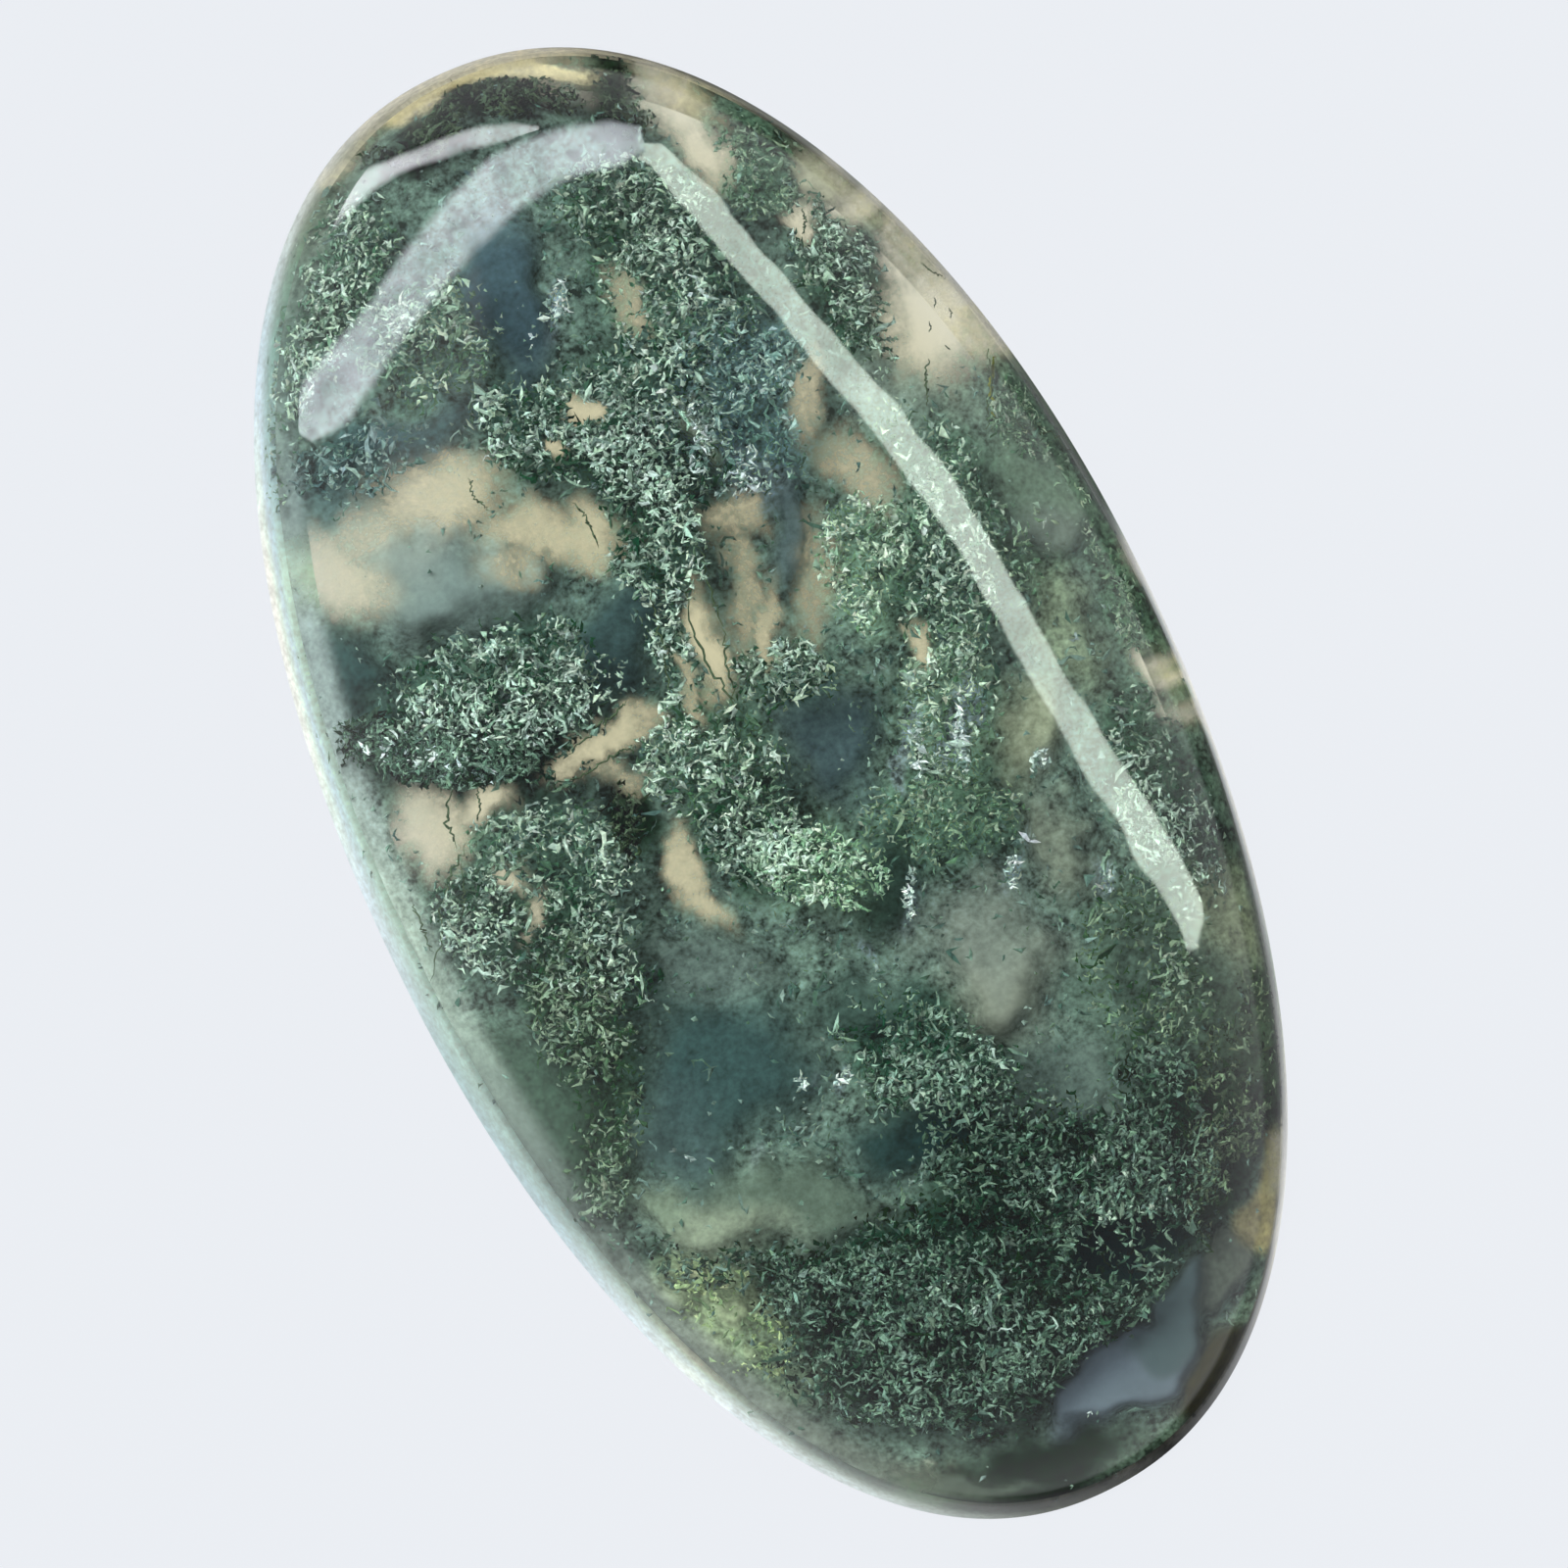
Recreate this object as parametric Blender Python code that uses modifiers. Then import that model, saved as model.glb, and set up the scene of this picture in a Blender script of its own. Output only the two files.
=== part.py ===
"""Moss agate cabochon: one oval piece of polished chalcedony, with a domed front and a flat back.

The stone lies on its back. Its long axis is along Y, it is widest along X, and the origin is the
middle of the back, so the surface that it rests on is the plane Z = 0.
"""

import math

import bmesh
import bpy

# Driving dimensions, in metres
LENGTH = 0.0400
WIDTH = 0.0218
THICKNESS = 0.0055

# The wall leans in from the widest line to the crease where the dome starts. The bevel is below it.
CREASE_HEIGHT = 0.0022
CREASE_INSET = 0.00055
WIDEST_HEIGHT = 0.0007
BEVEL_INSET = 0.00055

# The outline is an oval a little squarer than an ellipse, narrower at the -Y end, with both ends
# set over to -X. ENDS_POWER and SIDES_POWER would both be 2 for a true ellipse.
ENDS_POWER = 2.085
SIDES_POWER = 2.150
NARROWING = 0.012
BOW = 0.0001

# The dome's section is an ellipse with a flatter top, as its power is over 2. It is cut off at the
# crease, at DOME_CUT of the way to where it would be upright. Towards the ends it is fuller, so
# that their shoulders are as round as those of the sides.
DOME_POWER = 2.6
DOME_CUT = 0.955
END_FULLNESS = 1.5
DOME_RINGS = 18

OUTLINE_STEPS = 104
AXIS_MERGE = 0.000001

STONE_GREEN = (0.115, 0.165, 0.135, 1.0)
STONE_IOR = 1.54

BLANK_RADIUS = WIDTH / 2
CREASE_RADIUS = BLANK_RADIUS - CREASE_INSET


def clear_scene():
    for old in list(bpy.data.objects):
        bpy.data.objects.remove(old, do_unlink=True)


def signed_power(value, power):
    return math.copysign(abs(value) ** power, value)


def outline_point(angle):
    """A point of the oval outline at this angle, for a stone whose bounding box isn't yet centred."""
    y = LENGTH / 2 * signed_power(math.sin(angle), 2 / ENDS_POWER)
    across = WIDTH / 2 * signed_power(math.cos(angle), 2 / SIDES_POWER)
    along = y / (LENGTH / 2)
    return across * (1 + NARROWING * along) - BOW * along**2, y


def outline_normal(angle):
    """The outward unit normal of the outline at this angle, from two points close beside it."""
    half_step = math.pi / OUTLINE_STEPS
    x0, y0 = outline_point(angle - half_step)
    x1, y1 = outline_point(angle + half_step)
    length = math.hypot(x1 - x0, y1 - y0)
    return (y1 - y0) / length, -(x1 - x0) / length


def dome_height(share):
    """The height of the dome at this share of the way from its top out to the crease."""
    here = math.sqrt(1 - (DOME_CUT * share) ** DOME_POWER)
    at_crease = math.sqrt(1 - DOME_CUT**DOME_POWER)
    return CREASE_HEIGHT + (THICKNESS - CREASE_HEIGHT) * (here - at_crease) / (1 - at_crease)


def half_section():
    """The half section across the stone's middle, from the top down, as (distance out, height)."""
    points = []
    for ring in range(DOME_RINGS + 1):
        share = math.sin(math.pi / 2 * ring / DOME_RINGS)
        points.append((share * CREASE_RADIUS, dome_height(share)))
    points.append((BLANK_RADIUS, WIDEST_HEIGHT))
    points.append((BLANK_RADIUS - BEVEL_INSET, 0))
    points.append((0, 0))
    return points


def turned_blank(section):
    """A round blank as wide as the stone, turned from the half section by a Screw modifier."""
    bm = bmesh.new()
    corners = [bm.verts.new((out, 0, height)) for out, height in section]
    for above, below in zip(corners, corners[1:]):
        bm.edges.new((above, below))
    mesh = bpy.data.meshes.new("half_section")
    bm.to_mesh(mesh)
    bm.free()
    blank = bpy.data.objects.new("half_section", mesh)
    bpy.context.scene.collection.objects.link(blank)
    screw = blank.modifiers.new("Screw", "SCREW")
    screw.steps = OUTLINE_STEPS
    screw.render_steps = OUTLINE_STEPS
    screw.use_merge_vertices = True
    screw.merge_threshold = AXIS_MERGE
    turned = bpy.data.meshes.new_from_object(blank.evaluated_get(bpy.context.evaluated_depsgraph_get()))
    bpy.data.objects.remove(blank, do_unlink=True)
    return turned


def dome_share(share, angle):
    """How far out to the crease a ring of the dome lies at this angle, from its share at the sides."""
    fullness = 1 + (END_FULLNESS - 1) * math.sin(angle) ** 2
    return share ** (1 / fullness)


def stretch_to_outline(mesh):
    """Moves each vertex of the round blank out to the oval, at the height that it has.

    The wall and the bevel are the outline moved in, so they have one width all round. The rings of
    the dome are the crease drawn in towards the middle.
    """
    for vertex in mesh.vertices:
        x, y, z = vertex.co
        reach = math.hypot(x, y)
        if reach < AXIS_MERGE:
            continue
        angle = math.atan2(y, x)
        on_dome = z > CREASE_HEIGHT + AXIS_MERGE
        inset = CREASE_INSET if on_dome else BLANK_RADIUS - reach
        share = dome_share(reach / CREASE_RADIUS, angle) if on_dome else 1
        edge_x, edge_y = outline_point(angle)
        normal_x, normal_y = outline_normal(angle)
        vertex.co.x = (edge_x - normal_x * inset) * share
        vertex.co.y = (edge_y - normal_y * inset) * share


def centre_on_origin(mesh):
    """Sets the middle of the bounding box over the origin, in X and Y."""
    for axis in (0, 1):
        places = [vertex.co[axis] for vertex in mesh.vertices]
        middle = (min(places) + max(places)) / 2
        for vertex in mesh.vertices:
            vertex.co[axis] -= middle


def polished_stone():
    material = bpy.data.materials.new("polished_moss_agate")
    material.use_nodes = True
    shader = material.node_tree.nodes["Principled BSDF"]
    shader.inputs["Base Color"].default_value = STONE_GREEN
    shader.inputs["Roughness"].default_value = 0.06
    shader.inputs["Metallic"].default_value = 0.0
    shader.inputs["IOR"].default_value = STONE_IOR
    material.diffuse_color = STONE_GREEN
    return material


def main():
    clear_scene()
    collection = bpy.data.collections.new("moss_agate_cabochon")
    bpy.context.scene.collection.children.link(collection)
    mesh = turned_blank(half_section())
    stretch_to_outline(mesh)
    centre_on_origin(mesh)
    mesh.name = "moss_agate"
    mesh.materials.clear()
    mesh.materials.append(polished_stone())
    mesh.shade_smooth()
    mesh.set_sharp_from_angle(angle=math.radians(30))
    collection.objects.link(bpy.data.objects.new("moss_agate", mesh))


main()
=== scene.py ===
import math

import bpy
import numpy as np
from mathutils import Matrix, Vector


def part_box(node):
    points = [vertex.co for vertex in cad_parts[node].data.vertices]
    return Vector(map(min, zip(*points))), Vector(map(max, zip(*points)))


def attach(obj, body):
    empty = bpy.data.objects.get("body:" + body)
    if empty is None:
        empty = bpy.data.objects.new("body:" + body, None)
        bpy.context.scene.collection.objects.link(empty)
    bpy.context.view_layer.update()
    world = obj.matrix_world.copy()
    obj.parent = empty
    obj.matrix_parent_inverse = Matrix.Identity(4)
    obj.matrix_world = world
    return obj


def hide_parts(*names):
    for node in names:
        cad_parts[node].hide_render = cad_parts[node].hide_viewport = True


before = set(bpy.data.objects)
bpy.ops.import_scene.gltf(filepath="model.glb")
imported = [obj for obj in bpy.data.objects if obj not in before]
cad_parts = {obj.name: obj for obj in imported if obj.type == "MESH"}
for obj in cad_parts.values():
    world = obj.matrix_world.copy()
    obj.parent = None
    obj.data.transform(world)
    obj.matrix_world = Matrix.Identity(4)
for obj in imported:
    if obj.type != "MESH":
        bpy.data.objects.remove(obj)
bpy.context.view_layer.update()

MM = 0.001
SEED = 20

# The form, as the CAD model has it
CAD_LOW, CAD_HIGH = (np.array(corner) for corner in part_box("moss_agate"))
WIDTH, LENGTH, THICKNESS = CAD_HIGH - CAD_LOW
CREASE_HEIGHT = 2.2 * MM
CREASE_INSET = 0.55 * MM
WIDEST_HEIGHT = 0.7 * MM
BEVEL_INSET = 0.55 * MM
ENDS_POWER = 2.085
SIDES_POWER = 2.150
NARROWING = 0.012
BOW = 0.1 * MM
DOME_POWER = 2.6
DOME_CUT = 0.955
END_FULLNESS = 1.5

# How the stone's surface is meshed, how far its corners are rounded, and how far hand polishing
# leaves it from a true form: each wave's share of the height and how much shorter it is
BODY_STEPS = 420
DOME_RINGS = 64
FILLET_SHARE = 0.985
FILLET_RINGS = 6
CREASE_FILLET = 0.15
BEVEL_FILLET = 0.2
BACK_FILLET = 0.15 * MM
BACK_RING = 0.6
WAVE_HEIGHT = 0.006 * MM
WAVE_LENGTH = 3.2 * MM
WAVES = ((1, 1), (0.3, 2.1), (0.1, 3.9))
WAVE_MIDDLE = 0.7
WAVE_START = 0.6 * MM

# The photograph's frame and the camera. The stone's long axis leans to the left in the picture,
# and the camera stands a little to the left of straight above the stone.
PHOTO_SIZE = 1600
PIXELS_PER_MM = 40.0
STONE_CENTRE_PIXEL = (795.5, 795.5)
LEAN = math.radians(25.3)
CAMERA_TILT = math.radians(8)
LENS = 100.0
SENSOR = 36.0
CAMERA_DISTANCE = PHOTO_SIZE / PIXELS_PER_MM * MM * LENS / SENSOR

CHALCEDONY_IOR = 1.54

# What a ray loses on its way through the stone, to each metre, as linear RGB: least of the warm light
ABSORPTION = np.array([38.0, 54.0, 144.0])
ABSORPTION_DENSITY = 140.0

# The light that falls on the deep growth and on single threads, which shade each other, what the
# polished surface adds over them, how far light goes through the stone for each unit of depth, and
# the limits of a surface colour
VEIL_LIGHT = np.array([1.0, 0.96, 1.0])
THREAD_LIGHT = np.array([0.80, 0.745, 0.80])
SURFACE_SHEEN = 0.012
LIGHT_PATH = 2.2
ALBEDO_LIMITS = (0.001, 0.95)
NOISE_CELLS = 32

# The lowest place that growth is put, and how far it stays inside the stone's surface
LOWEST_GROWTH = 0.35 * MM
GROWTH_MARGIN = 0.05 * MM


def linear(colour):
    """sRGB from 0 to 255 as linear RGB."""
    share = np.asarray(colour, float) / 255
    return np.where(share < 0.04045, share / 12.92, ((share + 0.055) / 1.055) ** 2.4)


def albedo(seen, depth, light):
    """The surface colour that looks like this linear colour from under this much stone."""
    lost = np.exp(-LIGHT_PATH * np.maximum(depth, 0)[:, None] * ABSORPTION)
    return np.clip((seen - SURFACE_SHEEN) / (light * lost), *ALBEDO_LIMITS)


def unit(vectors):
    return vectors / np.linalg.norm(vectors, axis=1, keepdims=True)


def smooth_step(t):
    t = np.clip(t, 0, 1)
    return t * t * (3 - 2 * t)


def lattice_noise(points, size, seed):
    """Smooth noise from 0 to 1 at (N, 3) points, with features of this size."""
    table = np.random.default_rng(seed).random((NOISE_CELLS, NOISE_CELLS, NOISE_CELLS))
    scaled = points / size
    cell = np.floor(scaled).astype(int)
    part = smooth_step(scaled - cell)
    total = np.zeros(len(points))
    for corner in np.ndindex(2, 2, 2):
        weight = np.prod(np.where(corner, part, 1 - part), axis=1)
        total += weight * table[tuple(((cell + corner) % NOISE_CELLS).T)]
    return total


def outline(angle):
    """(N, 2) points of the oval outline, for a stone whose bounding box isn't yet centred."""
    sine, cosine = np.sin(angle), np.cos(angle)
    y = LENGTH / 2 * np.sign(sine) * np.abs(sine) ** (2 / ENDS_POWER)
    across = WIDTH / 2 * np.sign(cosine) * np.abs(cosine) ** (2 / SIDES_POWER)
    along = y / (LENGTH / 2)
    return np.stack([across * (1 + NARROWING * along) - BOW * along**2, y], axis=-1)


def moved_in(angle, inset):
    """The outline moved inwards by this distance."""
    near = math.pi / 1000
    way = outline(angle + near) - outline(angle - near)
    normal = np.stack([way[:, 1], -way[:, 0]], axis=-1)
    return outline(angle) - inset * normal / np.linalg.norm(normal, axis=1, keepdims=True)


def dome_height(share):
    here = np.sqrt(1 - (DOME_CUT * share) ** DOME_POWER)
    at_crease = math.sqrt(1 - DOME_CUT**DOME_POWER)
    return CREASE_HEIGHT + (THICKNESS - CREASE_HEIGHT) * (here - at_crease) / (1 - at_crease)


def fullness_at(angle):
    return 1 + (END_FULLNESS - 1) * np.sin(angle) ** 2


# The form as a table by the direction from its middle, for finding the surface over any point
TABLE_ANGLES = np.linspace(-math.pi, math.pi, 4096, endpoint=False)
MIDDLE = (outline(TABLE_ANGLES).max(axis=0) + outline(TABLE_ANGLES).min(axis=0)) / 2


def reach_table(inset):
    points = moved_in(TABLE_ANGLES, inset)
    way = np.arctan2(points[:, 1], points[:, 0])
    order = np.argsort(way)
    return way[order], np.hypot(*points.T)[order], fullness_at(TABLE_ANGLES)[order]


EDGE_TABLE = reach_table(0)
CREASE_TABLE = reach_table(CREASE_INSET)
BACK_TABLE = reach_table(BEVEL_INSET)


def reach_and_way(x, y):
    return np.hypot(x + MIDDLE[0], y + MIDDLE[1]), np.arctan2(y + MIDDLE[1], x + MIDDLE[0])


def reach_to(table, way):
    return np.interp(way, table[0], table[1], period=2 * math.pi)


def top_height(x, y):
    """The height of the stone's upper surface, wall included, over each point."""
    reach, way = reach_and_way(x, y)
    crease, edge = reach_to(CREASE_TABLE, way), reach_to(EDGE_TABLE, way)
    fullness = np.interp(way, CREASE_TABLE[0], CREASE_TABLE[2], period=2 * math.pi)
    share = np.clip(reach / crease, 0, 1) ** fullness
    down_wall = np.clip((reach - crease) / (edge - crease), 0, 1)
    return dome_height(share) - (CREASE_HEIGHT - WIDEST_HEIGHT) * down_wall


def bottom_height(x, y):
    """The height of the back, bevel included, under each point."""
    reach, way = reach_and_way(x, y)
    back, edge = reach_to(BACK_TABLE, way), reach_to(EDGE_TABLE, way)
    return WIDEST_HEIGHT * np.clip((reach - back) / (edge - back), 0, 1)


def edge_distance(x, y):
    """How far each point is inside the outline, near enough."""
    reach, way = reach_and_way(x, y)
    return reach_to(EDGE_TABLE, way) - reach


def inside(points, margin):
    x, y, z = points.T
    below_top = z < top_height(x, y) - margin
    above_back = z > bottom_height(x, y) + margin
    return below_top & above_back & (edge_distance(x, y) > margin)


# The camera's frame: columns right, up and back
CAMERA_BACK = np.array([-math.sin(CAMERA_TILT), 0, math.cos(CAMERA_TILT)])
ACROSS = np.array([math.cos(CAMERA_TILT), 0, math.sin(CAMERA_TILT)])
CAMERA_RIGHT = math.cos(LEAN) * ACROSS - math.sin(LEAN) * np.array([0, 1, 0])
CAMERA_UP = math.sin(LEAN) * ACROSS + math.cos(LEAN) * np.array([0, 1, 0])


def camera_place():
    right, down = (PHOTO_SIZE / 2 - middle for middle in STONE_CENTRE_PIXEL)
    aim = np.array([0, 0, WIDEST_HEIGHT])
    aim += (CAMERA_RIGHT * right - CAMERA_UP * down) / PIXELS_PER_MM * MM
    return aim + CAMERA_BACK * CAMERA_DISTANCE


CAMERA_PLACE = camera_place()


def sight_lines(px, py):
    """Unit directions from the camera through these pixels of the photograph."""
    right = (px - PHOTO_SIZE / 2) * SENSOR / PHOTO_SIZE
    up = (PHOTO_SIZE / 2 - py) * SENSOR / PHOTO_SIZE
    ways = right[:, None] * CAMERA_RIGHT + up[:, None] * CAMERA_UP - LENS * CAMERA_BACK
    return unit(ways)


def pixels_of(points):
    """The photograph's pixels that points on the stone's surface are seen at."""
    from_camera = points - CAMERA_PLACE
    scale = LENS / -(from_camera @ CAMERA_BACK) * PHOTO_SIZE / SENSOR
    px = PHOTO_SIZE / 2 + from_camera @ CAMERA_RIGHT * scale
    return px, PHOTO_SIZE / 2 - from_camera @ CAMERA_UP * scale


def surface_normals(x, y):
    near = 0.02 * MM
    slope_x = (top_height(x + near, y) - top_height(x - near, y)) / (2 * near)
    slope_y = (top_height(x, y + near) - top_height(x, y - near)) / (2 * near)
    return unit(np.stack([-slope_x, -slope_y, np.ones_like(x)], axis=-1))


def seen_surface(px, py):
    """Where each sight line meets the stone."""
    ways = sight_lines(px, py)
    height = np.full(len(px), THICKNESS)
    for _ in range(16):
        points = CAMERA_PLACE + ways * ((height - CAMERA_PLACE[2]) / ways[:, 2])[:, None]
        height = top_height(points[:, 0], points[:, 1])
    return points


def bent_ways(points):
    """The direction inside the stone of the sight line that enters at each surface point."""
    normals = surface_normals(points[:, 0], points[:, 1])
    ways = unit(points - CAMERA_PLACE)
    facing = -(ways * normals).sum(axis=1, keepdims=True)
    ratio = 1 / CHALCEDONY_IOR
    return ratio * ways + (ratio * facing - np.sqrt(1 - ratio**2 * (1 - facing**2))) * normals


def seen_at_depth(px, py, depth):
    """The point that a pixel shows at this depth along its sight line, and the depth that it got."""
    points = seen_surface(px, py)
    ways = bent_ways(points)
    depth = np.minimum(depth, (points[:, 2] - LOWEST_GROWTH) / -ways[:, 2])
    return points + ways * depth[:, None], depth


def mesh_object(name, points, faces):
    mesh = bpy.data.meshes.new(name)
    mesh.from_pydata(points.tolist(), [], faces)
    mesh.update()
    piece = bpy.data.objects.new(name, mesh)
    bpy.context.scene.collection.objects.link(piece)
    return piece


def ring_faces(rings, steps):
    """Quads between rings of points, each ring closed on itself."""
    ring, step = np.meshgrid(np.arange(rings - 1), np.arange(steps), indexing="ij")
    after = (step + 1) % steps
    upper, lower = ring * steps, (ring + 1) * steps
    return np.stack([upper + step, lower + step, lower + after, upper + after], axis=-1).reshape(-1, 4)


def add_colours(piece, name, colours):
    values = np.column_stack([colours, np.ones(len(colours))]).astype(np.float32)
    piece.data.color_attributes.new(name, "FLOAT_COLOR", "POINT").data.foreach_set("color", values.ravel())


def add_values(piece, name, values):
    piece.data.attributes.new(name, "FLOAT", "POINT").data.foreach_set("value", values.astype(np.float32))


class Shader:
    """A new material's nodes, with its Principled BSDF ready."""

    def __init__(self, name):
        self.material = bpy.data.materials.new(name)
        self.material.use_nodes = True
        self.nodes = self.material.node_tree.nodes
        self.surface = self.nodes["Principled BSDF"]
        self.out = self.nodes["Material Output"]

    def node(self, kind, **settings):
        made = self.nodes.new("ShaderNode" + kind)
        for key, value in settings.items():
            setattr(made, key, value)
        return made

    def link(self, source, target):
        self.material.node_tree.links.new(source, target)

    def attribute(self, name, output="Fac"):
        return self.node("Attribute", attribute_name=name).outputs[output]

    def noise(self, size, detail=2.0, roughness=0.5):
        """Noise in the object's own space, with features of about this size."""
        noise = self.node("TexNoise")
        self.link(self.node("TexCoord").outputs["Object"], noise.inputs["Vector"])
        noise.inputs["Scale"].default_value = 1 / size
        noise.inputs["Detail"].default_value = detail
        noise.inputs["Roughness"].default_value = roughness
        return noise.outputs["Fac"]

    def maths(self, operation, *values):
        made = self.node("Math", operation=operation)
        for socket, value in zip(made.inputs, values):
            if isinstance(value, (int, float)):
                socket.default_value = value
            else:
                self.link(value, socket)
        return made.outputs["Value"]

    def times(self, colour, value):
        made = self.node("VectorMath", operation="SCALE")
        self.link(colour, made.inputs[0])
        self.link(value, made.inputs["Scale"])
        return made.outputs["Vector"]


# The stone's own surface


def fillet(before, corner, after):
    """Rings that round off a corner ring, between the rings before and after it."""
    for t in np.linspace(0, 1, FILLET_RINGS):
        yield (1 - t) ** 2 * before + 2 * t * (1 - t) * corner + t**2 * after


def ring_at(angle, inset, height, share=1.0):
    """A ring at this distance in from the outline, or at a share of the way out from the middle."""
    place = moved_in(angle, inset) * np.reshape(share, (-1, 1)) - MIDDLE
    return np.column_stack([place, np.broadcast_to(height, len(angle))])


def stone_rings():
    """The body's rings from the dome's top to the middle of the back, each (BODY_STEPS, 3)."""
    angle = np.linspace(0, 2 * math.pi, BODY_STEPS, endpoint=False)
    shares = np.sin(np.linspace(0, math.asin(FILLET_SHARE), DOME_RINGS))
    rings = []
    for share in shares[1:]:
        rings.append(ring_at(angle, CREASE_INSET, dome_height(share), share ** (1 / fullness_at(angle))))
    crease = ring_at(angle, CREASE_INSET, CREASE_HEIGHT)
    widest = ring_at(angle, 0, WIDEST_HEIGHT)
    back = ring_at(angle, BEVEL_INSET, 0)
    inner = ring_at(angle, BEVEL_INSET + BACK_FILLET, 0)
    below_crease = crease + CREASE_FILLET * (widest - crease)
    above_widest = widest + CREASE_FILLET * (crease - widest)
    below_widest = widest + BEVEL_FILLET * (back - widest)
    rings += fillet(rings.pop(), crease, below_crease)
    rings += fillet(above_widest, widest, below_widest)
    rings += fillet(back + BEVEL_FILLET * (widest - back), back, inner)
    rings.append(ring_at(angle, BEVEL_INSET, 0, BACK_RING))
    return rings


def polish_waves(points):
    """Moves the upper surface by the slight waves that hand polishing leaves."""
    wave = np.zeros(len(points))
    for number, (share, shorter) in enumerate(WAVES):
        wave += share * (lattice_noise(points, WAVE_LENGTH / shorter, SEED + number) - 0.5)
    fade = smooth_step((points[:, 2] - CREASE_HEIGHT) / WAVE_START)
    points[:, 2] -= WAVE_HEIGHT * (WAVE_MIDDLE + wave) * fade
    return points


def stone_body():
    rings = stone_rings()
    top = np.array([[-MIDDLE[0], -MIDDLE[1], THICKNESS]])
    back = np.array([[-MIDDLE[0], -MIDDLE[1], 0]])
    points = polish_waves(np.concatenate([*rings, top, back]))
    faces = ring_faces(len(rings), BODY_STEPS).tolist()
    last_ring = (len(rings) - 1) * BODY_STEPS
    for step in range(BODY_STEPS):
        after = (step + 1) % BODY_STEPS
        faces.append((len(points) - 2, step, after))
        faces.append((last_ring + step, len(points) - 1, last_ring + after))
    body = mesh_object("stone", points, faces)
    body.data.shade_smooth()
    body.data.materials.append(chalcedony())
    return body


def chalcedony():
    """Clear stone. It takes blue light from what passes through it, so that looks cream."""
    shader = Shader("chalcedony")
    shader.surface.inputs["Base Color"].default_value = (1, 1, 1, 1)
    shader.surface.inputs["Roughness"].default_value = 0.04
    shader.surface.inputs["IOR"].default_value = CHALCEDONY_IOR
    shader.surface.inputs["Transmission Weight"].default_value = 1
    surface = shader.node("MixShader")
    shader.link(shader.node("LightPath").outputs["Is Shadow Ray"], surface.inputs["Fac"])
    shader.link(shader.surface.outputs["BSDF"], surface.inputs[1])
    shader.link(shader.node("BsdfTransparent").outputs["BSDF"], surface.inputs[2])
    shader.link(surface.outputs["Shader"], shader.out.inputs["Surface"])
    takes = shader.node("VolumeAbsorption")
    takes.inputs["Color"].default_value = (*(1 - ABSORPTION / ABSORPTION_DENSITY), 1)
    takes.inputs["Density"].default_value = ABSORPTION_DENSITY
    shader.link(takes.outputs["Volume"], shader.out.inputs["Volume"])
    return shader.material


# Places in the photograph. Each patch is an oval: its middle's pixel, its two half lengths in
# pixels, and how far its first half length is turned, clockwise from the picture's right.

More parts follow.
